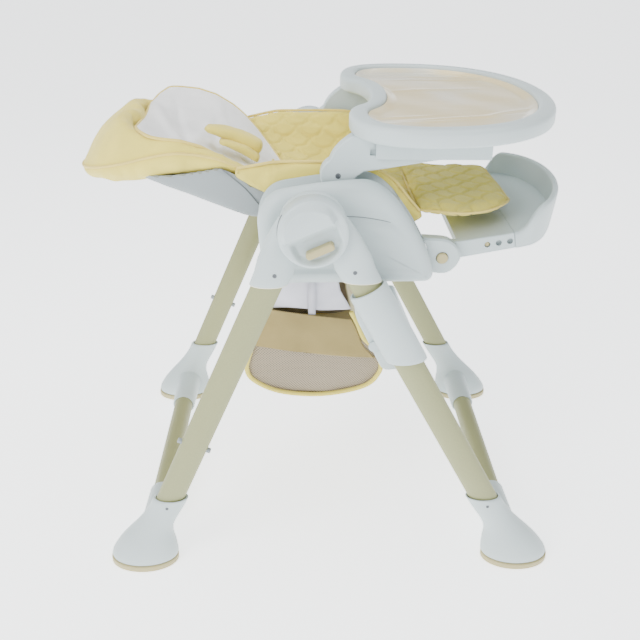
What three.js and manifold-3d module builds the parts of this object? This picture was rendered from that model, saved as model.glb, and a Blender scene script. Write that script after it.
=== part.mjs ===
// Folding baby high chair on two A-shaped leg frames, with a seat that slides on the front legs,
// a reclining backrest, a hinged calf rest with a sliding footrest, and a tray on lift-up arms.
// Millimetres, +Z up, +X towards the front of the chair and +Y to the child's left.
// The model is drawn about the leg pivots, and the group is moved to the middle of its outline at the end.
import * as THREE from "three";
import { mergeVertices } from "three/addons/utils/BufferGeometryUtils.js";
import Module from "manifold-3d";

const wasm = await Module();
wasm.setup();

const deg = Math.PI / 180;
const gap = 0.4; // air between pieces that touch or fit in each other

// ---- driving dimensions ----
const hubHeight = 615; // leg pivot above the floor
const seatDatum = 615; // pivot height that the seat's outlines are drawn for, all moved up or down with it
const frontLean = 28.6 * deg; // front legs from the vertical
const rearLean = 23.4 * deg;
const legPlane = 270; // leg tubes from the middle of the chair
const legOffset = 26; // leg tube beside the line through the pivot
const tubeWide = 44; // oval leg tube, seen from the side
const tubeThick = 26;
const tubeWall = 1.6;
const crossRadius = 19; // round floor tubes
const crossHeight = 46;
const socketWall = 4;
const hubRadius = 50;
const hubSocketEnd = 104; // end of a hub's socket, down the leg from the pivot
const footSocketTop = 134; // height where a leg tube enters its foot
const footBossEnd = legPlane - 123; // inner end of a foot's cross tube socket, from the middle
const footHalfLong = 57;
const footHalfWide = 36;
const soleThick = 11;

const panelOut = legPlane - 48; // side panels, from the middle of the chair
const panelIn = panelOut - 65;
const panelWall = 4;
const panWall = 5; // seat pan's side walls
const sliderTop = 122; // height slider, down the leg from the pivot
const sliderLong = 136;

const reclineX = -62; // backrest pivot
const reclineZ = 605;
const backHalfWide = panelIn - 11;
const headStart = -200; // the head end's outline curves in from here
const headEnd = -386;

const calfX = 204; // calf rest pivot
const calfZ = 534;
const calfTilt = 9.7 * deg;
const calfHalfWide = panelIn + 3;
const railHigh = 26;
const holePitch = 18;

const armX = 38; // tray arm pivot
const armZ = 667;
const armIn = panelIn + 9;
const armThick = 23;
const armRadius = 27;

const trayBack = 54; // tray outline
const trayFront = 390;
const trayHalfWide = 270;
const trayBottom = 729;
const trayThick = 25;
const trayRim = 27;

const basketTop = 432;
const basketBottom = 258;
const basketHalfWide = panelIn + 1;

// ---- colours ----
const finish = (color, roughness) => new THREE.MeshStandardMaterial({ color, roughness, metalness: 0 });
const white = finish(0xe3e9ee, 0.42);
const greyPlastic = finish(0xd4d9e0, 0.45);
const cream = finish(0xd3cfae, 0.5);
const beige = finish(0xe6d8a6, 0.5);
const honey = finish(0xe9d9ae, 0.22);
const fabric = finish(0xe4d690, 0.9);
const liner = finish(0xebe9e4, 0.85);
const webbing = finish(0xc9c9cf, 0.8);
const steel = new THREE.MeshStandardMaterial({ color: 0xb6babd, roughness: 0.35, metalness: 0.9 });

// ---- solids ----
function closedSolid(geometry) {
  return new wasm.Manifold(
    new wasm.Mesh({
      numProp: 3,
      vertProperties: new Float32Array(geometry.attributes.position.array),
      triVerts: new Uint32Array(geometry.index.array),
    }),
  );
}

function solidOf(geometry) {
  const bare = geometry.index ? geometry.toNonIndexed() : geometry.clone();
  bare.deleteAttribute("normal");
  bare.deleteAttribute("uv");
  return closedSolid(mergeVertices(bare, 1e-3));
}

function geometryOf(solid) {
  const mesh = solid.getMesh();
  return new THREE.BufferGeometry()
    .setAttribute("position", new THREE.BufferAttribute(mesh.vertProperties, 3))
    .setIndex(new THREE.BufferAttribute(mesh.triVerts, 1));
}

const join = (first, ...rest) => rest.reduce((sum, next) => sum.add(next), first);
const cut = (first, ...rest) => rest.reduce((left, next) => left.subtract(next), first);
const mirrored = (solid) => solid.mirror([0, 1, 0]);
const lifted = (solid) => solid.translate([0, 0, hubHeight - seatDatum]);

// A block between two corners, given as ranges along each axis.
function block([x0, x1], [y0, y1], [z0, z1]) {
  const box = new THREE.BoxGeometry(x1 - x0, y1 - y0, z1 - z0);
  return solidOf(box.translate((x0 + x1) / 2, (y0 + y1) / 2, (z0 + z1) / 2));
}

// The corners of a shape, anticlockwise, and how fast each one moves when the outline is drawn inwards.
function cornersOf(shape, segments) {
  const points = shape.extractPoints(segments).shape;
  const corners = points.filter((p, i) => p.distanceTo(points[(i + 1) % points.length]) > 1e-4);
  return THREE.ShapeUtils.isClockWise(corners) ? corners.reverse() : corners;
}

function inwardSpeeds(corners) {
  const count = corners.length;
  return corners.map((p, i) => {
    const before = p.clone().sub(corners[(i + count - 1) % count]).normalize();
    const after = corners[(i + 1) % count].clone().sub(p).normalize();
    const normal = new THREE.Vector2(-before.y - after.y, before.x + after.x).normalize();
    const along = Math.max(0.4, before.x * normal.y - before.y * normal.x);
    return normal.divideScalar(along);
  });
}

// The outline a given distance inside a shape, without the points that would land too near the shape.
function insetShape(shape, distance, segments) {
  const corners = cornersOf(shape, segments);
  const speeds = inwardSpeeds(corners);
  const foot = new THREE.Vector3();
  const flat = (p) => new THREE.Vector3(p.x, p.y, 0);
  const edges = corners.map((p, i) => new THREE.Line3(flat(p), flat(corners[(i + 1) % corners.length])));
  const farFrom = (edge, p) => edge.closestPointToPoint(flat(p), true, foot).distanceTo(flat(p));
  const clear = (p) => edges.every((edge) => farFrom(edge, p) > distance - 0.02);
  return new THREE.Shape(corners.map((p, i) => p.clone().addScaledVector(speeds[i], distance)).filter(clear));
}

// A shape carried along its normal, with its end edges rounded by soft, or by as much as its corners allow.
function extruded(shape, length, { soft = 0, inset = 0, segments = 3 }) {
  const corners = cornersOf(inset > 0 ? insetShape(shape, inset, segments) : shape, segments);
  const speeds = inwardSpeeds(corners);
  const count = corners.length;
  const limits = corners.map((p, i) => {
    const edge = corners[(i + 1) % count].clone().sub(p);
    const closing = -speeds[(i + 1) % count].clone().sub(speeds[i]).dot(edge.clone().normalize());
    return closing > 0 ? edge.length() / closing : Infinity;
  });
  const round = Math.min(soft, 0.8 * Math.min(...limits));
  const layers = [
    [0, 0],
    [0, length],
  ];
  if (round > 0.2) {
    layers.splice(0, 2, [round, 0], [0, round], [0, length - round], [round, length]);
  }
  const positions = layers.flatMap(([into, z]) =>
    corners.flatMap((p, i) => [p.x + speeds[i].x * into, p.y + speeds[i].y * into, z]),
  );
  const cap = THREE.ShapeUtils.triangulateShape(corners, []);
  const top = (layers.length - 1) * count;
  const faces = cap.flatMap(([a, b, c]) => [c, b, a, a + top, b + top, c + top]);
  for (let layer = 0; layer < layers.length - 1; layer++) {
    for (let i = 0; i < count; i++) {
      const [a, b] = [layer * count + i, layer * count + ((i + 1) % count)];
      faces.push(a, b, b + count, a, b + count, a + count);
    }
  }
  const geometry = new THREE.BufferGeometry();
  geometry.setAttribute("position", new THREE.Float32BufferAttribute(positions, 3));
  return geometry.setIndex(faces);
}

// A side-view outline in (x, z), carried across the chair from y0 to y1.
function slab(shape, y0, y1, options = {}) {
  return closedSolid(extruded(shape, y1 - y0, options).rotateX(Math.PI / 2).translate(0, y1, 0));
}

// A plan outline in (x, y), carried up from z0 to z1.
function plate(shape, z0, z1, options = {}) {
  return closedSolid(extruded(shape, z1 - z0, options).translate(0, 0, z0));
}

// A slab whose outer face, at y1, is rounded off by soft: its outline shrinks towards its own middle.
function domed(shape, y0, y1, soft, segments = 3) {
  const layers = 4;
  const geometry = new THREE.ExtrudeGeometry(shape, {
    depth: layers,
    steps: layers,
    bevelEnabled: false,
    curveSegments: segments,
  });
  geometry.computeBoundingBox();
  const middle = geometry.boundingBox.getCenter(new THREE.Vector3());
  const half = geometry.boundingBox.getSize(new THREE.Vector3()).multiplyScalar(0.5);
  const position = geometry.attributes.position;
  for (let i = 0; i < position.count; i++) {
    const layer = Math.round(position.getZ(i));
    const turn = (Math.min(layer, layers - 1) / (layers - 1)) * (Math.PI / 2);
    const shrink = soft * (1 - Math.sin(turn));
    const x = middle.x + (position.getX(i) - middle.x) * (1 - shrink / half.x);
    const y = middle.y + (position.getY(i) - middle.y) * (1 - shrink / half.y);
    position.setXYZ(i, x, y, layer === layers ? y1 - y0 : soft * (1 - Math.cos(turn)));
  }
  return solidOf(geometry.rotateX(Math.PI / 2).translate(0, y1, 0));
}

// A round pin along Y.
function pin(x, z, radius, y0, y1, segments = 12) {
  const cylinder = new THREE.CylinderGeometry(radius, radius, y1 - y0, segments);
  return solidOf(cylinder.translate(x, (y0 + y1) / 2, z));
}

// A polygon with its corners rounded: each corner is [x, y, radius].
function rounded(corners) {
  const shape = new THREE.Shape();
  const count = corners.length;
  corners.forEach(([x, y, radius = 0], i) => {
    const before = corners[(i + count - 1) % count];
    const after = corners[(i + 1) % count];
    const here = new THREE.Vector2(x, y);
    const back = new THREE.Vector2(before[0] - x, before[1] - y);
    const on = new THREE.Vector2(after[0] - x, after[1] - y);
    const reach = Math.min(radius, 0.48 * back.length(), 0.48 * on.length());
    const enter = here.clone().addScaledVector(back.normalize(), reach);
    const leave = here.clone().addScaledVector(on.normalize(), reach);
    if (i === 0) shape.moveTo(enter.x, enter.y);
    else shape.lineTo(enter.x, enter.y);
    if (reach > 0) shape.quadraticCurveTo(x, y, leave.x, leave.y);
  });
  shape.closePath();
  return shape;
}

const ellipse = (x, y, rx, ry) => new THREE.Shape().absellipse(x, y, rx, ry, 0, 2 * Math.PI);

// Level oval rings stacked into one closed body: each is { x, y, z, long, wide }.
function ovalStack(rings, around = 20) {
  const positions = [];
  const ringPoint = (ring, k) => {
    const turn = (k / around) * 2 * Math.PI;
    return [ring.x + ring.long * Math.cos(turn), ring.y + ring.wide * Math.sin(turn), ring.z];
  };
  const centre = (ring) => [ring.x, ring.y, ring.z];
  for (let k = 0; k < around; k++) {
    positions.push(...centre(rings[0]), ...ringPoint(rings[0], k + 1), ...ringPoint(rings[0], k));
    const last = rings[rings.length - 1];
    positions.push(...centre(last), ...ringPoint(last, k), ...ringPoint(last, k + 1));
    for (let i = 0; i + 1 < rings.length; i++) {
      const [a, b] = [ringPoint(rings[i], k), ringPoint(rings[i], k + 1)];
      const [c, d] = [ringPoint(rings[i + 1], k), ringPoint(rings[i + 1], k + 1)];
      positions.push(...a, ...b, ...d, ...a, ...d, ...c);
    }
  }
  const geometry = new THREE.BufferGeometry();
  return solidOf(geometry.setAttribute("position", new THREE.Float32BufferAttribute(positions, 3)));
}

// ---- the assembly ----
const chair = new THREE.Group();

function addPiece(name, solid, material) {
  const mesh = new THREE.Mesh(geometryOf(solid), material);
  mesh.name = name;
  chair.add(mesh);
  return mesh;
}

// A piece drawn on the child's left, and its mirror twin on the right.
function addPair(name, solid, material) {
  addPiece(`${name}_left`, solid, material);
  addPiece(`${name}_right`, solid, material).scale.y = -1;
}

// The same for what is drawn about the seat, which goes up and down with the pivots.
const addSeatPiece = (name, solid, material) => addPiece(name, lifted(solid), material);
const addSeatPair = (name, solid, material) => addPair(name, lifted(solid), material);

// ---- legs: way is +1 for the front frame and -1 for the rear frame ----
// A leg is drawn straight down from the pivot and then leaned into place.
function leaned(geometry, way, lean) {
  return solidOf(geometry.rotateY(-way * lean).translate(0, 0, hubHeight));
}

const axisX = (way, lean, z) => way * (Math.tan(lean) * (hubHeight - z) + legOffset / Math.cos(lean));
const downLeg = (lean, z) => (hubHeight - z) / Math.cos(lean) + legOffset * Math.tan(lean);

// An oval section of the leg, grown by extra, from one distance down the leg to another.
function legRun(way, lean, from, to, extra) {
  const section = ellipse(way * legOffset, legPlane, tubeWide / 2 + extra, tubeThick / 2 + extra);
  const depth = to - from;
  const run = new THREE.ExtrudeGeometry(section, { depth, bevelEnabled: false, curveSegments: 10 });
  return leaned(run.translate(0, 0, -to), way, lean);
}

const tubeTop = hubRadius + 4;

function makeLegs(part, way, lean, ...holes) {
  const tubeFoot = downLeg(lean, 62);
  const tube = cut(
    legRun(way, lean, tubeTop, tubeFoot, 0),
    legRun(way, lean, tubeTop - 1, tubeFoot + 1, -tubeWall),
    ...holes,
  );
  addPair(`${part}_leg`, tube, cream);

  const crossX = axisX(way, lean, crossHeight);
  const crossEnd = legPlane - 16;
  const cross = cut(
    pin(crossX, crossHeight, crossRadius, -crossEnd, crossEnd, 24),
    pin(crossX, crossHeight, crossRadius - tubeWall, -crossEnd - 1, crossEnd + 1, 24),
  );
  addPiece(`${part}_cross_tube`, cross, cream);

  // The foot swells from its socket to an oval base, fuller on the side away from the chair.
  const swell = [
    [soleThick + gap, 0, 1, 1],
    [25, 4, 0.99, 1],
    [40, 6, 0.92, 0.95],
    [58, 10, 0.76, 0.82],
    [76, 11, 0.54, 0.64],
    [95, 8, 0.37, 0.46],
  ];
  const base = ovalStack(
    swell.map(([z, shift, long, wide]) => ({
      x: axisX(way, lean, z) + way * shift,
      y: legPlane,
      z,
      long: footHalfLong * long,
      wide: footHalfWide * wide,
    })),
    20,
  );
  const boss = pin(crossX, crossHeight, crossRadius + socketWall, footBossEnd, legPlane, 20);
  const socket = legRun(way, lean, downLeg(lean, footSocketTop), downLeg(lean, 60), socketWall);
  const foot = cut(
    join(base, boss, socket),
    legRun(way, lean, downLeg(lean, footSocketTop) - 30, tubeFoot + gap, gap),
    pin(crossX, crossHeight, crossRadius + gap + 0.2, footBossEnd - 1, crossEnd + gap, 20),
  );
  addPair(`${part}_foot`, foot, white);

  const soleX = axisX(way, lean, soleThick);
  const sole = plate(ellipse(soleX, legPlane, footHalfLong + 1, footHalfWide + 1), 0, soleThick, {
    soft: 2,
    segments: 10,
  });
  addPair(`${part}_sole`, sole, beige);
}

// Tray hooks: a peg through each rear leg, for hanging the tray on.
const hookRadius = 4.5;
const hookDown = downLeg(rearLean, 0.39 * hubHeight);
const hookReach = tubeWide / 2 + 6;
const hookAt = (radius, reach) =>
  leaned(
    new THREE.CylinderGeometry(radius, radius, 2 * reach, 14)
      .rotateZ(Math.PI / 2)
      .translate(-legOffset, legPlane, -hookDown),
    -1,
    rearLean,
  );
addPair("tray_hook", hookAt(hookRadius, hookReach), greyPlastic);

makeLegs("front", 1, frontLean);
makeLegs("rear", -1, rearLean, hookAt(hookRadius + gap, hookReach + 20));

// ---- hubs: the rear frame turns between the seat and the front frame's cover ----
const rearDiscIn = legPlane - 30;
const rearDiscOut = legPlane - 8;
const coverOut = legPlane + 31;
const pinRadius = 8;
const innerDisc = pin(0, hubHeight, hubRadius - 5, rearDiscIn, rearDiscOut, 24);
const pinHole = pin(0, hubHeight, pinRadius + gap, rearDiscIn - 1, coverOut - 8);

const rearSocketStart = hubRadius + 1.5;
const rearNeck = slab(
  rounded([
    [-legOffset - 20, -rearSocketStart - 14],
    [0, -rearSocketStart - 14],
    [0, 0],
    [-legOffset - 20, -10],
  ]),
  rearDiscIn + 6,
  rearDiscOut,
);
const rearNeckPlaced = rearNeck.rotate([0, rearLean / deg, 0]).translate([0, 0, hubHeight]);
addPair(
  "rear_hub",
  cut(
    join(innerDisc, rearNeckPlaced, legRun(-1, rearLean, rearSocketStart, hubSocketEnd, socketWall)),
    legRun(-1, rearLean, tubeTop - gap, hubSocketEnd + 1, gap),
    pinHole,
  ),
  white,
);

const grip = { x: -2, z: hubHeight + 3, tilt: 24.5 * deg, radius: 39, proud: 10 };
const button = { x: 10, z: hubHeight - 23.5, long: 43, high: 11, travel: 4 };
const tilted = (solid, x, z) => solid.rotate([0, -grip.tilt / deg, 0]).translate([x, 0, z]);

const gripOutline = new THREE.Shape();
gripOutline.moveTo(-grip.radius + 4, -14);
gripOutline.lineTo(grip.radius - 8, -14);
gripOutline.quadraticCurveTo(grip.radius, -4, grip.radius - 12, 10);
gripOutline.quadraticCurveTo(6, 30, -20, 16);
gripOutline.quadraticCurveTo(-grip.radius - 4, 4, -grip.radius + 4, -14);
const buttonOutline = (grow) =>
  rounded([
    [-button.long / 2 - grow, -button.high / 2 - grow, 5],
    [button.long / 2 + grow, -button.high / 2 - grow, 5],
    [button.long / 2 + grow, button.high / 2 + grow, 5],
    [-button.long / 2 - grow, button.high / 2 + grow, 5],
  ]);
const buttonBack = coverOut - 16;
const cover = slab(ellipse(0, hubHeight, hubRadius, hubRadius), rearDiscOut + 2, coverOut, {
  soft: 4,
  segments: 12,
});
addPair(
  "front_hub",
  cut(
    join(
      cover,
      legRun(1, frontLean, 12, hubSocketEnd, socketWall),
      tilted(slab(gripOutline, coverOut - 6, coverOut + grip.proud, { soft: 4 }), grip.x, grip.z),
    ),
    pin(0, hubHeight, hubRadius - 3, rearDiscIn - 10, rearDiscOut + 1, 24),
    legRun(1, frontLean, tubeTop - gap, hubSocketEnd + 1, gap),
    pinHole,
    tilted(slab(buttonOutline(0.8), buttonBack - button.travel - 1, coverOut + 20), button.x, button.z),
  ),
  white,
);
addPair(
  "fold_button",
  tilted(slab(buttonOutline(0), buttonBack, coverOut + 2, { soft: 1.5 }), button.x, button.z),
  beige,
);
addPair(
  "pivot_pin",
  join(
    pin(0, hubHeight, pinRadius, rearDiscIn - 1, coverOut - 9),
    pin(0, hubHeight, pinRadius + 6, rearDiscIn - 6, rearDiscIn - gap),
  ),
  steel,
);

// ---- seat: side panels, pan, height sliders ----
const panelOutline = rounded([
  [-76, 499, 24],
  [-84, 614, 22],
  [-62, 648, 20],
  [14, 661, 30],
  [88, 667, 22],
  [122, 642, 20],
  [160, 588, 22],
  [182, 545, 20],
  [192, 503, 20],
]);
const armRecess = pin(armX, armZ, armRadius + 2, armIn - 2, panelOut + 5, 24);
const armSweep = block([armX - 80, armX + 60], [armIn - 2, panelOut + 5], [armZ + 2, armZ + 60]);
const panelShell = cut(
  domed(panelOutline, panelIn, panelOut, 14),
  slab(panelOutline, panelIn - 1, panelOut - panelWall - 10, { inset: panelWall + 8 }),
);
const armEar = pin(armX, armZ - 4, armRadius - 4, panelIn, armIn - 2, 20);
const armHole = pin(armX, armZ, 5 + gap, panelIn - 1, armIn);
addSeatPair("side_panel", cut(join(cut(panelShell, armRecess, armSweep), armEar), armHole), white);

// The pan is a tub between the panels, with a lip at the front edge of the seat.
const panOut = panelIn - 2;
const panIn = panOut - panWall;
const panFloor = 540;
const panBack = -8;
const panFront = 172;
const panSide = rounded([
  [panBack, 512, 6],
  [168, 512, 10],
  [panFront, 552, 10],
  [140, 600, 30],
  [104, 640, 20],
  [66, 652, 10],
  [panBack, 648, 10],
]);
const pan = cut(
  join(
    slab(panSide, -panOut, panOut),
    block([panBack + 8, 150], [-110, 110], [494, 520]),
  ),
  block([panBack - 5, panFront + 10], [-panIn, panIn], [panFloor, 700]),
  block([panBack + 14, 144], [-104, 104], [480, panFloor - panWall]),
  block([panBack + 6, 160], [-panIn, -116], [500, panFloor - panWall]),
  block([panBack + 6, 160], [116, panIn], [500, panFloor - panWall]),
);
addSeatPiece("seat_pan", pan, greyPlastic);

// Height sliders: a sleeve round each front leg on a bracket that is fixed to the side panel, and a sprung
// lock pin through its flange, beside the leg, pulled outwards to let go.
const bracketIn = panelOut + gap + 1;
const bracketOut = bracketIn + 15;
const flangeOut = legPlane - 18;
const sleeveEnd = sliderTop + sliderLong;
const lockDown = sleeveEnd - 36;
const lockBeside = 37;
const lockRadius = 5;
const lockHead = 4;
const lockPin = (radius, from, to) =>
  leaned(
    new THREE.CylinderGeometry(radius, radius, to - from, 18).translate(
      legOffset - lockBeside,
      (from + to) / 2,
      -lockDown,
    ),
    1,
    frontLean,
  );
const flange = leaned(
  new THREE.BoxGeometry(54, flangeOut - bracketIn, sliderLong).translate(
    legOffset - 24,
    (flangeOut + bracketIn) / 2,
    -sliderTop - sliderLong / 2,
  ),
  1,
  frontLean,
);
const besideLeg = (below, aside) => [axisX(1, frontLean, hubHeight - below) + aside, seatDatum - below];
const bracket = slab(
  rounded([
    [64, 556, 12],
    [140, 556, 12],
    [...besideLeg(175, 17), 20],
    [...besideLeg(145, -13), 8],
  ]),
  bracketIn,
  bracketOut,
);
addPair(
  "height_slider",
  cut(
    join(flange, lifted(bracket), legRun(1, frontLean, sliderTop, sleeveEnd, socketWall + 4)),
    legRun(1, frontLean, sliderTop - 1, sleeveEnd + 1, 1),
    lockPin(lockRadius + gap, bracketIn - 1, flangeOut + lockHead),
  ),
  white,
);
addPair(
  "height_lock",
  join(
    lockPin(lockRadius, bracketIn + 4, flangeOut + lockHead),
    lockPin(lockRadius + 4, flangeOut + gap, flangeOut + lockHead),
  ),
  beige,
);

// ---- seat cushion: a padded seat with a raised side along each panel ----
const cushionBase = rounded([
  [-2, panFloor + gap, 6],
  [182, panFloor + gap + 14, 10],
  [182, 578, 16],
  [150, 594, 20],
  [-2, 590, 10],
]);
const cushionSide = rounded([
  [-22, 604, 6],
  [14, 570, 6],
  [150, 560, 10],
  [150, 608, 18],
  [112, 658, 24],
  [70, 684, 14],
  [-22, 686, 8],
]);
const cushionHalf = panIn - 2;
const sideThick = 14;
const cushionWing = slab(cushionSide, cushionHalf - sideThick, cushionHalf, { soft: 3 });
addSeatPiece(
  "seat_cushion",
  cut(
    join(slab(cushionBase, -cushionHalf, cushionHalf, { soft: 4 }), cushionWing, mirrored(cushionWing)),
    block([166, 200], [-cushionHalf - 2, cushionHalf + 2], [500, 552]),
  ),
  fabric,
);
addSeatPiece(
  "crotch_strap",
  slab(
    rounded([
      [86, 596],
      [89, 596],
      [97, 642],
      [94, 642],
    ]),
    -13,
    13,
  ),
  webbing,
);
addSeatPiece(
  "harness_buckle",
  slab(
    rounded([
      [86, 643, 6],
      [102, 643, 6],
      [109, 675, 6],
      [93, 677, 6],
    ]),
    -24,
    24,
    { soft: 2 },
  ),
  greyPlastic,
);

// ---- storage basket under the seat: a thin open-topped bag ----
const basketOutline = rounded([
  [-122, basketTop + 30, 10],
  [-104, basketBottom + 4, 50],
  [72, basketBottom, 60],
  [130, 330, 40],
  [84, basketTop + 30, 10],
]);
const basketWall = 3;
const basketInside = basketHalfWide - basketWall - 4;
const hangerOutline = rounded([
  [-14, basketTop - 40],
  [8, basketTop - 40],
  [8, 493],
  [-14, 493],
]);
const hanger = slab(hangerOutline, basketHalfWide - 5, basketHalfWide - 3);
addSeatPiece(
  "storage_basket",
  join(
    cut(
      slab(basketOutline, -basketHalfWide, basketHalfWide, { soft: 12 }),
      slab(basketOutline, -basketInside, basketInside, { inset: basketWall }),
      block([-200, 200], [-200, 200], [basketTop - 4, basketTop + 60]),
    ),
    hanger,
    mirrored(hanger),
  ),
  fabric,
);

// ---- backrest: shell, padding, liner and shoulder pads ----
// The shell is deepest at the pivot and thins towards the head; its floor is a curve in side view.
const shellSide = rounded([
  [reclineX + 26, reclineZ - 14, 12],
  [reclineX + 22, reclineZ + 22, 12],
  [-100, 650, 8],
  [-122, 670, 8],
  [-170, 653, 20],
  [-262, 656, 10],
  [-330, 656, 3],
  [-330, 644, 6],
  [-252, 642, 30],
  [-96, 590, 20],
  [reclineX + 4, reclineZ - 28, 16],
]);
const shellFloor = [
  [-336, 651],
  [-254, 649],
  [-98, 597],
  [reclineX, reclineZ - 19],
];
addSeatPair("recline_pin", pin(reclineX, reclineZ, 8, backHalfWide + gap, panelIn + 12, 16), steel);

const raised = (points, lift) => points.map(([x, z]) => [x, z + lift]);
const padHalf = backHalfWide - 8;
// The head end is rounded in plan: everything on the backrest is trimmed to this outline.
const headPlan = (into) => {
  const [side, end] = [backHalfWide + 2 - into, headEnd + into];
  const shape = new THREE.Shape();
  shape.moveTo(reclineX + 60, -side);
  shape.lineTo(reclineX + 60, side);
  shape.lineTo(headStart, side);
  shape.bezierCurveTo(headStart - 96, side, end, 0.62 * side, end, 0);
  shape.bezierCurveTo(end, -0.62 * side, headStart - 96, -side, headStart, -side);
  return shape;
};
const trimmed = (solid, into) => solid.intersect(plate(headPlan(into), 500, 800, { segments: 8 }));
const shellTub = cut(
  slab(shellSide, -backHalfWide, backHalfWide, { soft: 4 }),
  slab(
    rounded([[reclineX + 60, reclineZ - 19], [reclineX + 60, 720], [-420, 720], [-420, 651], ...shellFloor]),
    6 - backHalfWide,
    backHalfWide - 6,
  ),
);
addSeatPiece("backrest_shell", trimmed(shellTub, 2), greyPlastic);

const backPad = rounded([
  ...raised(shellFloor, 1).map(([x, z]) => [x, z, 4]),
  [reclineX - 6, 628, 10],
  [-78, 636, 10],
  [-150, 676, 30],
  [-216, 706, 30],
  [-300, 708, 20],
  [-362, 688, 20],
  [-388, 652, 18],
  [-368, 622, 14],
  [-340, 626, 8],
]);
addSeatPiece("backrest_pad", trimmed(slab(backPad, -padHalf, padHalf, { soft: 8 }), 2), fabric);

const linerSheet = [
  [-74, 638.5],
  [-150, 680.5],
  [-216, 711],
  [-264, 717],
];
addSeatPiece(
  "body_liner",
  slab(
    rounded([...raised(linerSheet, 12).reverse(), ...linerSheet].map(([x, z]) => [x, z, 8])),
    14 - backHalfWide,
    backHalfWide - 14,
    { soft: 3 },
  ),
  liner,
);

// The two shoulder pads lie one over the other on the liner.
function shoulderPad(bottom, thick, y) {
  const [foot, head] = [linerSheet[0], linerSheet[1]];
  const slope = (head[1] - foot[1]) / (head[0] - foot[0]);
  const lineAt = (x, lift) => [x, foot[1] + slope * (x - foot[0]) + lift, 5];
  const outline = rounded([
    lineAt(-80, bottom),
    lineAt(-80, bottom + thick),
    lineAt(-164, bottom + thick),
    lineAt(-164, bottom),
  ]);
  return slab(outline, y - 20, y + 20, { soft: 3 });
}
addSeatPiece("shoulder_pad_right", shoulderPad(15, 8, -46), fabric);
addSeatPiece("shoulder_pad_left", shoulderPad(23.6, 16, -40), fabric);

const leverOutline = rounded([
  [-316, 641.4, 3],
  [-274, 641, 3],
  [-278, 622, 6],
  [-310, 620, 6],
]);
addSeatPiece("recline_lever", slab(leverOutline, -38, 38, { soft: 1 }), greyPlastic);

// ---- calf rest: a frame hinged at the front of the seat, with a footrest that slides out of it ----
// Drawn level about the pivot, and tilted up into place.
const calfPlaced = (solid) => solid.rotate([0, -calfTilt / deg, 0]).translate([calfX, 0, calfZ]);
const railIn = calfHalfWide - 13;
const frameLong = 120;
const railLow = -13;
const railTop = railLow + railHigh;
const holeStart = 76;
const slotDepth = 11;
const frameSide = rounded([
  [-16, 0, 12],
  [-10, railLow - 3, 10],
  [frameLong, railLow, 2],
  [frameLong, railTop, 2],
  [30, railTop, 10],
  [4, railTop + 6, 10],
  [-14, 12, 10],
]);
const frameRail = cut(
  slab(frameSide, railIn, calfHalfWide, { soft: 1.5 }),
  pin(0, 0, 5 + gap, railIn - 1, calfHalfWide + 1),
  block([holeStart - 6, frameLong + 10], [railIn - 1, railIn + slotDepth], [-6, 6]),
  ...[0, 1, 2].map((k) => pin(holeStart + k * holePitch, 0, 5, railIn, calfHalfWide + 1, 10)),
);
const framePlate = join(
  block([34, frameLong], [-railIn - 0.5, railIn + 0.5], [8, 11.5]),
  block([30, 38], [-railIn - 0.5, railIn + 0.5], [-6, 11.5]),
);
addSeatPiece("calf_frame", calfPlaced(join(frameRail, mirrored(frameRail), framePlate)), white);

// Brackets that carry the calf rest's pivot, in front of the side panels.
const bracketOutline = rounded([
  [calfX - 52, calfZ + 34, 6],
  [calfX + 14, calfZ + 30, 20],
  [calfX + 34, calfZ + 2, 18],
  [calfX + 14, calfZ - 30, 20],
  [calfX - 52, calfZ - 20, 6],
]);
const bracketFaceIn = calfHalfWide + 2;
const bracketFaceOut = calfHalfWide + 24;
const panelKeepOut = slab(panelOutline, panelIn - 10, panelOut + 20);
const calfBracket = cut(
  slab(bracketOutline, bracketFaceIn, bracketFaceOut, { soft: 3 }),
  pin(calfX, calfZ, 9.8, bracketFaceIn - 1, bracketFaceOut + 2, 16),
);
addSeatPair("calf_bracket", cut(calfBracket, panelKeepOut.translate([gap, 0, gap]), panelKeepOut), white);
addSeatPair(
  "calf_button",
  join(
    slab(ellipse(calfX, calfZ, 9, 9), bracketFaceOut - 12, bracketFaceOut + 4, { soft: 1.5, segments: 8 }),
    pin(calfX, calfZ, 5, railIn + 2, bracketFaceOut - 10, 16),
  ),
  beige,
);

// Footrest: a plate with an upturned edge round the front, and a tongue inside each rail.
const footStart = frameLong + gap;
const footLong = 216;
const tongueOut = railIn - gap;
const tongueThick = 6;
const footPinRadius = 4;
const footPlan = (into) => {
  const [side, front] = [calfHalfWide - into, footLong - into];
  const shape = new THREE.Shape();
  shape.moveTo(footStart, -side);
  shape.lineTo(footStart + 22, -side);
  shape.bezierCurveTo(footStart + 50, -side, front, 60 - side, front, 0);
  shape.bezierCurveTo(front, side - 60, footStart + 50, side, footStart + 22, side);
  shape.lineTo(footStart, side);
  return shape;
};
const lipTop = 50;
const lipCut = rounded([
  [footStart - 20, railTop, 0],
  [footStart + 2, railTop, 8],
  [footStart + 40, lipTop, 24],
  [footLong + 30, lipTop + 2, 0],
  [footLong + 30, lipTop + 60, 0],
  [footStart - 20, lipTop + 60, 0],
]);
const lipFloor = rounded([
  [footStart - 2, railLow - 10],
  [footLong + 30, railLow - 10],
  [footLong + 30, 40],
  [footLong - 24, railLow + 12, 20],
  [footLong - 50, railLow, 10],
  [footStart - 2, railLow],
]);
const footShell = cut(
  plate(footPlan(0), railLow, lipTop + 10, { segments: 8 }),
  plate(footPlan(9), 8 + 3.5, lipTop + 20, { segments: 8 }),
  block([footStart - 1, footLong - 40], [tongueThick - tongueOut, tongueOut - tongueThick], [railLow - 1, 8]),
  slab(lipCut, -calfHalfWide - 5, calfHalfWide + 5),
  slab(lipFloor, -calfHalfWide - 5, calfHalfWide + 5),
);
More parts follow.
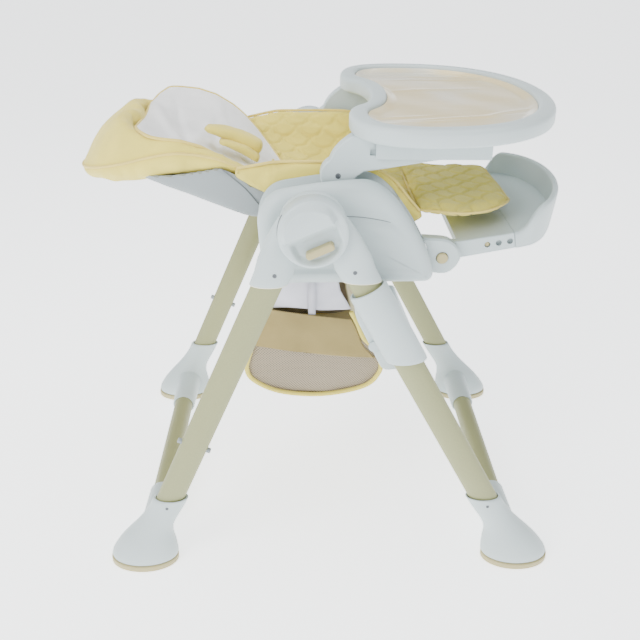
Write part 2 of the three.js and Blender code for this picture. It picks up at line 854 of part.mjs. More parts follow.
const tongue = cut(
  block([holeStart - 12, footStart + 20], [tongueOut - tongueThick, tongueOut], [-5.4, 5.4]),
  pin(holeStart, 0, footPinRadius + gap, tongueOut - tongueThick - 1, tongueOut + 1, 10),
);
addSeatPiece("footrest", calfPlaced(join(footShell, tongue, mirrored(tongue))), white);
const footPin = pin(holeStart, 0, footPinRadius, tongueOut - tongueThick, railIn + slotDepth - gap, 10);
addSeatPiece("footrest_pin_left", calfPlaced(footPin), beige);
addSeatPiece("footrest_pin_right", calfPlaced(mirrored(footPin)), beige);

// Calf pad: a quilted flap that lies over the frame.
const calfPadPlan = rounded([
  [-22, 18 - calfHalfWide, 16],
  [112, 14 - calfHalfWide, 40],
  [124, 0, 60],
  [112, calfHalfWide - 14, 40],
  [-22, calfHalfWide - 18, 16],
]);
const calfPad = plate(calfPadPlan, 0, 13, { soft: 4, segments: 4 }).translate([calfX - 12, 0, 590]);
addSeatPiece("calf_pad", calfPad, fabric);

// ---- tray arms, tray and insert ----
const armOutline = new THREE.Shape();
armOutline.absarc(armX, armZ, armRadius, 119 * deg, 355 * deg, false);
armOutline.lineTo(armX + 38, armZ + 6);
armOutline.lineTo(armX + 70, armZ + 11);
armOutline.lineTo(armX + 178, armZ + 29);
armOutline.lineTo(armX + 178, trayBottom - 2);
armOutline.lineTo(armX + 20, trayBottom - 2);
armOutline.quadraticCurveTo(armX - 6, armZ + 44, armX - 13, armZ + 23.6);
addSeatPair(
  "tray_arm",
  cut(
    slab(armOutline, armIn, armIn + armThick, { soft: 2, segments: 8 }),
    block([armX + 46, armX + 56], [armIn + armThick - 5, armIn + armThick + 2], [armZ + 31, armZ + 40]),
    pin(armX, armZ, 5 + gap, armIn - 1, armIn + armThick - 6),
  ),
  white,
);
addSeatPair("arm_pin", pin(armX, armZ, 5, panelIn + 1, armIn + armThick - 6 - gap), steel);

const bellyHalf = 104;
const bellyDeep = 52;
const trayOutline = new THREE.Shape();
const backCorner = { x: trayBack + 12, y: bellyHalf };
const bellyX = trayBack + bellyDeep;
const wideX = trayBack + 110;
const shoulderY = trayHalfWide - 30;
trayOutline.moveTo(backCorner.x, backCorner.y);
trayOutline.quadraticCurveTo(trayBack - 2, bellyHalf + 22, trayBack, bellyHalf + 60);
trayOutline.bezierCurveTo(trayBack + 4, shoulderY, trayBack + 40, trayHalfWide - 2, wideX, trayHalfWide);
trayOutline.bezierCurveTo(trayFront - 60, trayHalfWide, trayFront, 130, trayFront, 0);
trayOutline.bezierCurveTo(trayFront, -130, trayFront - 60, -trayHalfWide, wideX, -trayHalfWide);
trayOutline.bezierCurveTo(trayBack + 40, 2 - trayHalfWide, trayBack + 4, -shoulderY, trayBack, -bellyHalf - 60);
trayOutline.quadraticCurveTo(trayBack - 2, -bellyHalf - 22, backCorner.x, -backCorner.y);
trayOutline.bezierCurveTo(bellyX, 24 - bellyHalf, bellyX, bellyHalf - 24, backCorner.x, backCorner.y);

const trayTop = trayBottom + trayThick;
const wellFloor = trayBottom + 9;
const guideX = [96, 250];
const guideOut = armIn + armThick + 9;
const guide = block(guideX, [guideOut - 6, guideOut], [armZ + 26, trayBottom + 2]);
addSeatPiece(
  "tray",
  cut(
    join(plate(trayOutline, trayBottom, trayTop, { soft: 6, segments: 7 }), guide, mirrored(guide)),
    plate(trayOutline, wellFloor, trayTop + 8, { inset: trayRim, segments: 7 }),
  ),
  white,
);
addSeatPiece(
  "tray_insert",
  cut(
    plate(trayOutline, wellFloor + gap, trayTop + 1, { inset: trayRim + gap, soft: 1.5, segments: 7 }),
    plate(trayOutline, wellFloor + 4, trayTop + 8, { inset: trayRim + 14, segments: 7 }),
  ),
  honey,
);
addSeatPiece(
  "tray_latch",
  block([trayFront - 66, trayFront - 30], [-34, 34], [trayBottom - 12, trayBottom - gap]),
  greyPlastic,
);

// ---- the chair stands on the floor, in the middle of its outline ----
const outline = new THREE.Box3().setFromObject(chair, true);
chair.position.set(-(outline.min.x + outline.max.x) / 2, 0, -outline.min.z);

export default chair;
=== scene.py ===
import math
import bmesh
import bpy
import numpy as np
from mathutils import Matrix, Vector


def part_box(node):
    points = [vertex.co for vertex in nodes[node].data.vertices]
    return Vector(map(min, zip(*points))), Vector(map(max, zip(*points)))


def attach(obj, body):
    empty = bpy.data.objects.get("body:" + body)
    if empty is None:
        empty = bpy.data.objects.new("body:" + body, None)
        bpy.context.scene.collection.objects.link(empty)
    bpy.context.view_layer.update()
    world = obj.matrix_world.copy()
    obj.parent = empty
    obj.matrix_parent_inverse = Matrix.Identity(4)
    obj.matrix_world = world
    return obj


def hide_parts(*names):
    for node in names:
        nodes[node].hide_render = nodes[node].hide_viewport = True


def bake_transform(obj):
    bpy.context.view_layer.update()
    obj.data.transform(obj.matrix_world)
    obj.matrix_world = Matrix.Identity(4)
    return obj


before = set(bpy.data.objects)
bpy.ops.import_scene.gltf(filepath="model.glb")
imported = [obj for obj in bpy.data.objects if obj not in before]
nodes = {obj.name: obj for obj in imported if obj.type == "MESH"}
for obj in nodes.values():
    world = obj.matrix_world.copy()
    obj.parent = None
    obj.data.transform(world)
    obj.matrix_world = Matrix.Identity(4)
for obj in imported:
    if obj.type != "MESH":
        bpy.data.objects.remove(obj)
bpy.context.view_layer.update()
pinLow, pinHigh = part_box("pivot_pin_left")
hubX = (pinLow.x + pinHigh.x) / 2    # leg pivots, along the chair
hubZ = 1000 * (pinLow.z + pinHigh.z) / 2
print("frame loaded, pivots at", round(hubX, 4), round(hubZ, 1))

# every shape below is drawn in millimetres: x forward from the leg pivots, y to the child's left, z up


# camera, lights, floor
view = {"tilt": 27.19, "turn": 1.53, "roll": 0.68, "place": (-0.017, -1.338, 1.018), "lens": 45}


def makeCamera():
    tilt, turn, roll = (math.radians(view[k]) for k in ("tilt", "turn", "roll"))
    ahead = np.array([math.sin(turn) * math.cos(tilt), math.cos(turn) * math.cos(tilt), -math.sin(tilt)])
    side = np.array([math.cos(turn), -math.sin(turn), 0])
    up = np.cross(side, ahead)
    right = math.cos(roll) * side + math.sin(roll) * up
    top = -math.sin(roll) * side + math.cos(roll) * up
    camera = bpy.data.objects.new("camera", bpy.data.cameras.new("camera"))
    camera.data.sensor_width = 36
    camera.data.lens = view["lens"]
    turned = np.eye(4)
    turned[:3, 0], turned[:3, 1], turned[:3, 2] = right, top, -ahead
    turned[:3, 3] = np.array(view["place"]) + (hubX, 0, 0)
    camera.matrix_world = Matrix(turned.tolist())
    bpy.context.scene.collection.objects.link(camera)
    bpy.context.scene.camera = camera


makeCamera()
light = {
    "sky": 0.6, "horizon": 2.9, "skyColor": (0.95, 0.98, 1.0),    # overhead, and where it meets the floor
    "band": 0.24, "top": 54, "key": 80, "fill": 4, "floor": 2.1, "floorHalf": 60000,
}


def areaLight(name, place, aim, size, power):
    lamp = bpy.data.objects.new(name, bpy.data.lights.new(name, "AREA"))
    lamp.data.shape = "SQUARE"
    lamp.data.size = size
    lamp.data.energy = power
    lamp.location = place
    lamp.rotation_euler = (Vector(aim) - Vector(place)).to_track_quat("-Z", "Y").to_euler()
    bpy.context.scene.collection.objects.link(lamp)


areaLight("topLight", (0.1, 0.1, 2.6), (0, 0, 0.4), 2.4, light["top"])
areaLight("keyLight", (-1.6, -1.8, 2.2), (0, 0, 0.5), 1.6, light["key"])
areaLight("fillLight", (2.0, -1.2, 1.4), (0, 0, 0.4), 1.8, light["fill"])
sky = bpy.data.worlds.new("sky")
sky.use_nodes = True
sky.node_tree.nodes["Background"].inputs["Color"].default_value = (*light["skyColor"], 1)
# the sky is as bright as the floor where they meet, and eases down to its own strength overhead
where = sky.node_tree.nodes.new("ShaderNodeTexCoord")
split = sky.node_tree.nodes.new("ShaderNodeSeparateXYZ")
ease = sky.node_tree.nodes.new("ShaderNodeMapRange")
ease.inputs["From Max"].default_value = light["band"]
ease.inputs["To Min"].default_value = light["horizon"]
ease.inputs["To Max"].default_value = light["sky"]
sky.node_tree.links.new(where.outputs["Generated"], split.inputs["Vector"])
sky.node_tree.links.new(split.outputs["Z"], ease.inputs["Value"])
sky.node_tree.links.new(ease.outputs["Result"], sky.node_tree.nodes["Background"].inputs["Strength"])
bpy.context.scene.world = sky


# materials: the helpers add nodes in front of a principled shader


def newMaterial(name, color, roughness, **sockets):
    material = bpy.data.materials.new(name)
    material.use_nodes = True
    shader = material.node_tree.nodes["Principled BSDF"]
    shader.inputs["Base Color"].default_value = (*color, 1)
    shader.inputs["Roughness"].default_value = roughness
    for socket, value in sockets.items():
        shader.inputs[socket.replace("_", " ")].default_value = value
    return material, material.node_tree, shader


def addNoise(tree, scale, detail=3.0, stretch=None):
    where = tree.nodes.new("ShaderNodeTexCoord")
    noise = tree.nodes.new("ShaderNodeTexNoise")
    noise.inputs["Scale"].default_value = scale
    noise.inputs["Detail"].default_value = detail
    out = where.outputs["Object"]
    if stretch:
        mapping = tree.nodes.new("ShaderNodeMapping")
        mapping.inputs["Scale"].default_value = stretch
        tree.links.new(out, mapping.inputs["Vector"])
        out = mapping.outputs["Vector"]
    tree.links.new(out, noise.inputs["Vector"])
    return noise.outputs["Fac"]


def varyColor(tree, shader, factor, dark, lightColor, low=0.3, high=0.7):
    ramp = tree.nodes.new("ShaderNodeValToRGB")
    ramp.color_ramp.elements[0].position = low
    ramp.color_ramp.elements[0].color = (*dark, 1)
    ramp.color_ramp.elements[1].position = high
    ramp.color_ramp.elements[1].color = (*lightColor, 1)
    tree.links.new(factor, ramp.inputs["Fac"])
    tree.links.new(ramp.outputs["Color"], shader.inputs["Base Color"])


def addBump(tree, shader, height, distance, strength=1.0):
    bump = tree.nodes.new("ShaderNodeBump")
    bump.inputs["Strength"].default_value = strength
    bump.inputs["Distance"].default_value = distance
    tree.links.new(height, bump.inputs["Height"])
    tree.links.new(bump.outputs["Normal"], shader.inputs["Normal"])


def addMath(tree, kind, a, b=None):
    node = tree.nodes.new("ShaderNodeMath")
    node.operation = kind
    for socket, value in zip(node.inputs, (a, b)):
        if value is None:
            continue
        if isinstance(value, (int, float)):
            socket.default_value = value
        else:
            tree.links.new(value, socket)
    return node.outputs["Value"]


def varyRoughness(tree, shader, factor, low, high):
    span = tree.nodes.new("ShaderNodeMapRange")
    span.inputs["To Min"].default_value = low
    span.inputs["To Max"].default_value = high
    tree.links.new(factor, span.inputs["Value"])
    tree.links.new(span.outputs["Result"], shader.inputs["Roughness"])


def mouldedPlastic(name, color, roughness):
    # plastic from a spark-eroded mould: fine grain, and slow drifts in shade and gloss
    material, tree, shader = newMaterial(name, color, roughness, IOR=1.46)
    drift = addNoise(tree, 9, 2)
    varyColor(tree, shader, drift, tuple(0.97 * c for c in color), tuple(min(1, 1.025 * c) for c in color))
    varyRoughness(tree, shader, drift, roughness - 0.04, roughness + 0.06)
    addBump(tree, shader, addNoise(tree, 1400, 2), 0.00006, 0.6)
    return material


def powderPaint(name, color):
    material, tree, shader = newMaterial(name, color, 0.5, IOR=1.5)
    speck = addNoise(tree, 420, 4)
    varyColor(tree, shader, speck, tuple(0.95 * c for c in color), tuple(1.03 * c for c in color))
    varyRoughness(tree, shader, addNoise(tree, 30, 2), 0.42, 0.56)
    addBump(tree, shader, speck, 0.00012, 0.5)
    return material


def wovenCloth(name, color, thread=0.9, rough=1.0):
    # plain weave: the product of two sine waves across each other, a thread apart, under slow creases
    material, tree, shader = newMaterial(name, color, 0.9, Sheen_Weight=0.25, Sheen_Roughness=0.5)
    where = tree.nodes.new("ShaderNodeTexCoord")
    split = tree.nodes.new("ShaderNodeSeparateXYZ")
    tree.links.new(where.outputs["Object"], split.inputs["Vector"])
    turns = 2000 * math.pi / thread
    slant = addMath(tree, "ADD", split.outputs["Y"], split.outputs["Z"])
    warp = addMath(tree, "SINE", addMath(tree, "MULTIPLY", split.outputs["X"], turns))
    weft = addMath(tree, "SINE", addMath(tree, "MULTIPLY", slant, turns))
    weave = addMath(tree, "MULTIPLY", warp, weft)
    drift = addNoise(tree, 22, 4)
    fluff = addNoise(tree, 500, 3)
    worn, fresh = tuple(0.93 * c for c in color), tuple(min(1, 1.04 * c) for c in color)
    varyColor(tree, shader, drift, worn, fresh, 0.35, 0.65)
    height = addMath(tree, "MULTIPLY", weave, 0.12)
    height = addMath(tree, "ADD", height, addMath(tree, "MULTIPLY", fluff, 0.5))
    height = addMath(tree, "ADD", height, addMath(tree, "MULTIPLY", addNoise(tree, 45, 3), 2.6 * rough))
    addBump(tree, shader, height, 0.0006, 0.55)
    return material


def netCloth(name, color, holeShade, pitch):
    # open net: round holes in staggered rows, painted dark as the shade seen through them, with a bump
    # round each
    material, tree, shader = newMaterial(name, color, 0.8)
    where = tree.nodes.new("ShaderNodeTexCoord")
    split = tree.nodes.new("ShaderNodeSeparateXYZ")
    tree.links.new(where.outputs["Object"], split.inputs["Vector"])
    turns = 1000 * math.pi / pitch
    across = addMath(tree, "ADD", split.outputs["X"], split.outputs["Y"])
    rising, falling = (addMath(tree, kind, across, split.outputs["Z"]) for kind in ("ADD", "SUBTRACT"))
    waves = [addMath(tree, "SINE", addMath(tree, "MULTIPLY", way, turns)) for way in (rising, falling)]
    spots = addMath(tree, "ABSOLUTE", addMath(tree, "MULTIPLY", *waves))
    varyColor(tree, shader, spots, color, holeShade, 0.35, 0.75)
    addBump(tree, shader, spots, 0.0006, 0.6)
    return material


whitePlastic = mouldedPlastic("whitePlastic", (0.49, 0.565, 0.57), 0.4)
greyPlastic = mouldedPlastic("greyPlastic", (0.27, 0.305, 0.315), 0.42)
beigePlastic = mouldedPlastic("beigePlastic", (0.45, 0.39, 0.19), 0.45)
creamPaint = powderPaint("creamPaint", (0.29, 0.295, 0.14))
trimCream = mouldedPlastic("trimCream", (0.86, 0.80, 0.62), 0.4)
yellowCloth = wovenCloth("yellowCloth", (0.74, 0.615, 0.11))
yellowPiping = wovenCloth("yellowPiping", (0.72, 0.57, 0.14), thread=0.7)
whiteKnit = wovenCloth("whiteKnit", (0.80, 0.80, 0.80), thread=0.6, rough=0.4)
bandCloth = wovenCloth("bandCloth", (0.31, 0.235, 0.085))
paleCloth = wovenCloth("paleCloth", (0.72, 0.71, 0.78), thread=0.7)
bagCloth = wovenCloth("bagCloth", (0.60, 0.50, 0.24), thread=0.8)
# the net's second colour is painted shade: the dim inside of the bag seen through the holes
netMaterial = netCloth("netCloth", (0.37, 0.31, 0.22), (0.15, 0.12, 0.08), pitch=4.8)
webbing = wovenCloth("webbing", (0.62, 0.61, 0.68), thread=1.4)
darkSteel, darkTree, darkShader = newMaterial("darkSteel", (0.14, 0.15, 0.16), 0.4, Metallic=0.9)
addBump(darkTree, darkShader, addNoise(darkTree, 300, 2), 0.0001, 0.5)
steelMaterial, steelTree, steelShader = newMaterial("steel", (0.6, 0.61, 0.62), 0.32, Metallic=1.0)
addBump(steelTree, steelShader, addNoise(steelTree, 220, 2, (1, 1, 14)), 0.00008, 0.5)
# painted shadow: a dark colour for thin tubes laid in gaps and seams, where shade falls
paintedSeamShade, seamTree, seamShader = newMaterial("seamShadow", (0.16, 0.18, 0.19), 0.8)
addBump(seamTree, seamShader, addNoise(seamTree, 200, 2), 0.0001, 0.3)


def honeyFilm():
    # the insert under a clear film: warm beige, with pale drifts and stretched gloss creases
    material, tree, shader = newMaterial(
        "honeyFilm", (0.80, 0.68, 0.48), 0.3, Coat_Weight=0.8, Coat_Roughness=0.08,
    )
    drift = addNoise(tree, 6, 2)
    varyColor(tree, shader, drift, (0.76, 0.62, 0.32), (0.72, 0.68, 0.54), 0.42, 0.62)
    crease = addNoise(tree, 16, 3, (0.35, 1.6, 1))
    addBump(tree, shader, crease, 0.004, 0.35)
    return material


honeyMaterial = honeyFilm()


def floorMaterial():
    material, tree, shader = newMaterial("floorPaper", (0.93, 0.95, 0.96), 0.75)
    varyColor(tree, shader, addNoise(tree, 1.5, 2), (0.925, 0.945, 0.955), (0.94, 0.955, 0.96))
    shader.inputs["Emission Color"].default_value = (0.97, 0.985, 1.0, 1)    # lit paper stays near white
    shader.inputs["Emission Strength"].default_value = light["floor"]
    return material


# shapes


def gridFaces(rows, cols, wrapCols=True, wrapRows=False):
    # quads between neighbouring rows and columns of a grid of points
    r = np.arange(rows if wrapRows else rows - 1)
    c = np.arange(cols if wrapCols else cols - 1)
    a, b = np.meshgrid(r, c, indexing="ij")
    a1, b1 = (a + 1) % rows, (b + 1) % cols
    quads = np.stack([a * cols + b, a * cols + b1, a1 * cols + b1, a1 * cols + b], -1)
    return quads.reshape(-1, 4).tolist()


def makeMesh(name, points, faces, material, sharp=38):
    # millimetres about the leg pivots become metres in the frame; a closed body's faces are turned outwards
    mesh = bpy.data.meshes.new(name)
    place = np.asarray(points, float).reshape(-1, 3) / 1000 + (hubX, 0, 0)
    mesh.from_pydata(place.tolist(), [], faces)
    body = bmesh.new()
    body.from_mesh(mesh)
    bmesh.ops.remove_doubles(body, verts=body.verts, dist=1e-6)
    bmesh.ops.recalc_face_normals(body, faces=body.faces)
    body.to_mesh(mesh)
    body.free()
    mesh.materials.append(material)
    mesh.shade_smooth()
    mesh.set_sharp_from_angle(angle=math.radians(sharp))
    piece = bpy.data.objects.new(name, mesh)
    bpy.context.scene.collection.objects.link(piece)
    return piece


def loft(name, rings, material, sharp=38):
    # rings of equal length joined by quads, with a flat cap at each end
    rings = np.asarray(rings, float)
    count, around = rings.shape[:2]
    faces = gridFaces(count, around)
    faces += [list(range(around))[::-1], [(count - 1) * around + k for k in range(around)]]
    return makeMesh(name, rings, faces, material, sharp)


def finish(piece, body, slot, *replaced):
    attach(piece, body)
    if replaced:
        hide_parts(*replaced)
    return piece


def curveThrough(points, count):
    # a cubic through the given points: tangents are half the step between neighbours
    p = np.asarray(points, float)
    p = np.vstack([2 * p[:1] - p[1:2], p, 2 * p[-1:] - p[-2:-1]])
    segments = len(p) - 3
    t = np.linspace(0, segments, count)
    k = np.clip(t.astype(int), 0, segments - 1)
    f = (t - k)[:, None]
    a, b, c, d = p[k], p[k + 1], p[k + 2], p[k + 3]
    return 0.5 * (2 * b + (c - a) * f + (2 * a - 5 * b + 4 * c - d) * f**2 + (3 * b - a - 3 * c + d) * f**3)


def evenly(loop, count, closed=True):
    # points at equal steps along a line
    p = np.asarray(loop, float)
    if closed:
        p = np.vstack([p, p[:1]])
    walked = np.concatenate([[0], np.cumsum(np.linalg.norm(np.diff(p, axis=0), axis=1))])
    at = np.linspace(0, walked[-1], count, endpoint=not closed)
    return np.stack([np.interp(at, walked, p[:, k]) for k in range(p.shape[1])], -1)


def roundPoly(corners, count=120):
    # a polygon whose corners are rounded by quadratic curves, then walked at equal steps
    c = np.asarray(corners, float)
    here, radius = c[:, :2], c[:, 2:3]
    back, on = np.roll(here, 1, 0) - here, np.roll(here, -1, 0) - here
    backLong, onLong = (np.linalg.norm(v, axis=1, keepdims=True) for v in (back, on))
    reach = np.minimum(radius, 0.48 * np.minimum(backLong, onLong))
    enter, leave = here + back / backLong * reach, here + on / onLong * reach
    t = np.linspace(0, 1, 9)[:, None, None]
    arcs = (1 - t) ** 2 * enter + 2 * t * (1 - t) * here + t**2 * leave
    return evenly(arcs.transpose(1, 0, 2).reshape(-1, 2), count)


def area2(loop):
    return np.sum(loop[:, 0] * np.roll(loop[:, 1], -1) - np.roll(loop[:, 0], -1) * loop[:, 1]) / 2


def insetLoop(loop, distance):
    # each point moves inwards along its normal, as far as it stays that far from the whole outline
    p = loop if area2(loop) > 0 else loop[::-1]
    along = np.roll(p, -1, 0) - np.roll(p, 1, 0)
    normal = np.stack([-along[:, 1], along[:, 0]], -1)
    normal /= np.linalg.norm(normal, axis=1, keepdims=True)
    reach = np.full(len(p), float(distance))
    for _ in range(24):
        moved = p + normal * reach[:, None]
        nearest = np.sqrt(((moved[:, None] - p[None]) ** 2).sum(-1)).min(1)
        reach = np.where(nearest < reach * 0.985 - 0.02, reach * 0.93, reach)
    return p + normal * reach[:, None]


def softSlab(name, loop, low, high, soft, material, place, softLow=None):
    # an outline carried from low to high, with a quarter circle round each end edge
    softLow = soft if softLow is None else softLow
    loop = loop if area2(loop) > 0 else loop[::-1]
    turn = np.linspace(0, math.pi / 2, 5)
    start = [(softLow * (1 - math.sin(a)), low + softLow * (1 - math.cos(a))) for a in turn]
    end = [(soft * (1 - math.cos(a)), high - soft * (1 - math.sin(a))) for a in turn]
    rings = [place(insetLoop(loop, d) if d > 1e-6 else loop, h) for d, h in start + end]
    return loft(name, rings, material)


def sideways(loop, y):
    # an outline in (x, z), stood at y
    return np.stack([loop[:, 0], np.full(len(loop), float(y)), loop[:, 1]], -1)


def level(loop, z):
    # an outline in (x, y), laid at z
    return np.stack([loop[:, 0], loop[:, 1], np.full(len(loop), float(z))], -1)


def tube(name, path, radius, material, around=10, closed=False, up=(0.13, 0.21, 0.97)):
    # a ring of the given radius carried along a path, square to it, and drawn in at open ends
    p = np.asarray(path, float)
    if closed:
        ahead = np.roll(p, -1, 0) - np.roll(p, 1, 0)
    else:
        ahead = np.gradient(p, axis=0)
    ahead /= np.linalg.norm(ahead, axis=1, keepdims=True)
    side = np.cross(ahead, np.broadcast_to(up, p.shape))
    side /= np.linalg.norm(side, axis=1, keepdims=True)
    over = np.cross(side, ahead)
    turn = np.linspace(0, 2 * math.pi, around, endpoint=False)
    ring = np.cos(turn)[None, :, None] * side[:, None] + np.sin(turn)[None, :, None] * over[:, None]
    rings = p[:, None] + radius * ring
    if closed:
        return makeMesh(name, rings, gridFaces(len(p), around, True, True), material)
    first = p[:1] + 0.45 * (rings[0] - p[:1]) - 0.35 * radius * ahead[:1]
    last = p[-1:] + 0.45 * (rings[-1] - p[-1:]) + 0.35 * radius * ahead[-1:]
    return loft(name, np.concatenate([first[None], rings, last[None]]), material)


def smoothStep(x):
    x = np.clip(x, 0, 1)
    return x * x * (3 - 2 * x)


def ripple(p, size, seed):
    # a smooth random height: the sum of five sine waves in seeded directions
    rng = np.random.default_rng(seed)
    ways = rng.normal(size=(5, 3))
    ways /= np.linalg.norm(ways, axis=1, keepdims=True)
    phases = rng.uniform(0, 6.28, 5)
    scales = rng.uniform(0.7, 1.6, 5)
    return np.sin(np.asarray(p) @ (ways.T * (6.28 / size)) * scales + phases).sum(-1) / 5


def scallops(u, v, size):
    # fish-scale quilting: height rises from 0 on each arc to 1 inside it; later rows lie on earlier ones
    height = np.full(np.shape(u), -1.0)
    row = np.floor(v / size)
    for step in (1, 0, -1):
        j = row + step
        shift = np.where(np.mod(j, 2) > 0.5, size, 0.0)
        near = np.round((u - shift) / (2 * size)) * 2 * size + shift
        far = np.hypot(u - near, v - j * size)
        inside = (far < size) & (height < 0)
        height = np.where(inside, smoothStep((size - far) / (0.3 * size)), height)
    return np.clip(height, 0, 1)


def refined(name, node, material, soft):
    # a CAD node's copy with its loose triangles merged, shaded smooth, and its hard edges softened
    piece = bpy.data.objects.new(name, nodes[node].data.copy())
    piece.data.materials.clear()
    piece.data.materials.append(material)
    body = bmesh.new()
    body.from_mesh(piece.data)
    bmesh.ops.remove_doubles(body, verts=body.verts, dist=2e-5)
    bmesh.ops.dissolve_limit(body, angle_limit=0.01, verts=body.verts, edges=body.edges)
    body.to_mesh(piece.data)
    body.free()
    if "custom_normal" in piece.data.attributes:
        piece.data.attributes.remove(piece.data.attributes["custom_normal"])
    piece.data.shade_smooth()
    piece.data.set_sharp_from_angle(angle=math.radians(35))
    bpy.context.scene.collection.objects.link(piece)
    bevel = piece.modifiers.new("edge", "BEVEL")
    bevel.width = soft / 1000
    bevel.segments = 2
    bevel.limit_method = "ANGLE"
    bevel.angle_limit = math.radians(32)
    bevel.harden_normals = False
    return piece


def eased(line, times):
    # each inner value moves towards its neighbours, in place
    for _ in range(times):
        line[1:-1] = 0.25 * line[:-2] + 0.5 * line[1:-1] + 0.25 * line[2:]
    return line


half = light["floorHalf"]
corners = [(-half, -half, 0), (half, -half, 0), (half, half, 0), (-half, half, 0)]
makeMesh("floor", corners, [(0, 1, 2, 3)], floorMaterial())
print("camera, light and floor ready")


# legs and feet
leg = {"front": 28.6, "rear": 23.4, "plane": 270, "beside": 26, "wide": 22, "thick": 13, "tubeTop": 84}
foot = {
    "height": [11.3, 13, 17, 25, 40, 58, 76, 95, 114, 134],
    "long": [54, 56.5, 57.5, 56, 51, 42, 34, 30.5, 29.4, 29.6],
    "wide": [33, 35.2, 36, 36, 34, 28.5, 22.5, 18.6, 17.2, 17.4],
    "shift": [0, 0, 1.5, 4, 7, 10, 9, 4.5, 0.5, 0],
    "sole": 11,
    "cross": 46,
    "tube": 19,
}


def legFrame(kind):
    lean = math.radians(leg[kind])
    way = 1 if kind == "front" else -1
    down = np.array([way * math.sin(lean), 0, -math.cos(lean)])
    out = np.array([way * math.cos(lean), 0, math.sin(lean)])
    return way, lean, down, out


def legRings(kind, side, along, beside, wide, thick, around=40, flat=0.0):
    # ovals square to the leg: centre = pivot + along*down + beside*out, half sizes wide and thick;
    # flat slides each point along the leg until the oval lies level
    way, lean, down, out = legFrame(kind)
    sizes = (along, beside, wide, thick, flat)
    s, b, w, t, k = (np.broadcast_to(np.asarray(v, float), np.shape(along)) for v in sizes)
    turn = np.linspace(0, 2 * math.pi, around, endpoint=False)
    middle = np.array([0, 0, hubZ]) + s[:, None] * down + b[:, None] * out
    middle[:, 1] = side * leg["plane"]
    rings = middle[:, None] + w[:, None, None] * np.cos(turn)[None, :, None] * out
    rings = rings + (k * w * math.tan(lean))[:, None, None] * np.cos(turn)[None, :, None] * down
    return rings + t[:, None, None] * np.sin(turn)[None, :, None] * np.array([0, 1, 0])


def axisX(kind, z):
    way, lean, down, out = legFrame(kind)
    return way * (math.tan(lean) * (hubZ - z) + leg["beside"] / math.cos(lean))


def alongAt(kind, z):
    lean = math.radians(leg[kind])
    return (hubZ - z) / math.cos(lean) + leg["beside"] * math.tan(lean)


def screw(name, place, normal, body, radius=3.2):
    # a domed screw head with a cross slot, as a ring profile turned about its axis
    n = np.asarray(normal, float) / np.linalg.norm(normal)
    a = np.cross(n, (0.3, 0.2, 0.93))
    a /= np.linalg.norm(a)
    b = np.cross(n, a)
    turn = np.linspace(0, 2 * math.pi, 32, endpoint=False)
    profile = [(1.0, -1.2), (1.0, 0.1), (0.92, 0.5), (0.6, 0.75), (0.45, 0.75), (0.3, 0.2), (0.05, 0.1)]
    ring = np.cos(turn)[:, None] * a + np.sin(turn)[:, None] * b
    slot = 0.35 + 0.65 * np.abs(np.cos(2 * turn))
    rings = []
    for r, h in profile:
        rings.append(np.asarray(place) + radius * r * ring * (slot[:, None] if r < 0.5 else 1) + h * n)
    return finish(loft(name, rings, darkSteel), body, "steel")


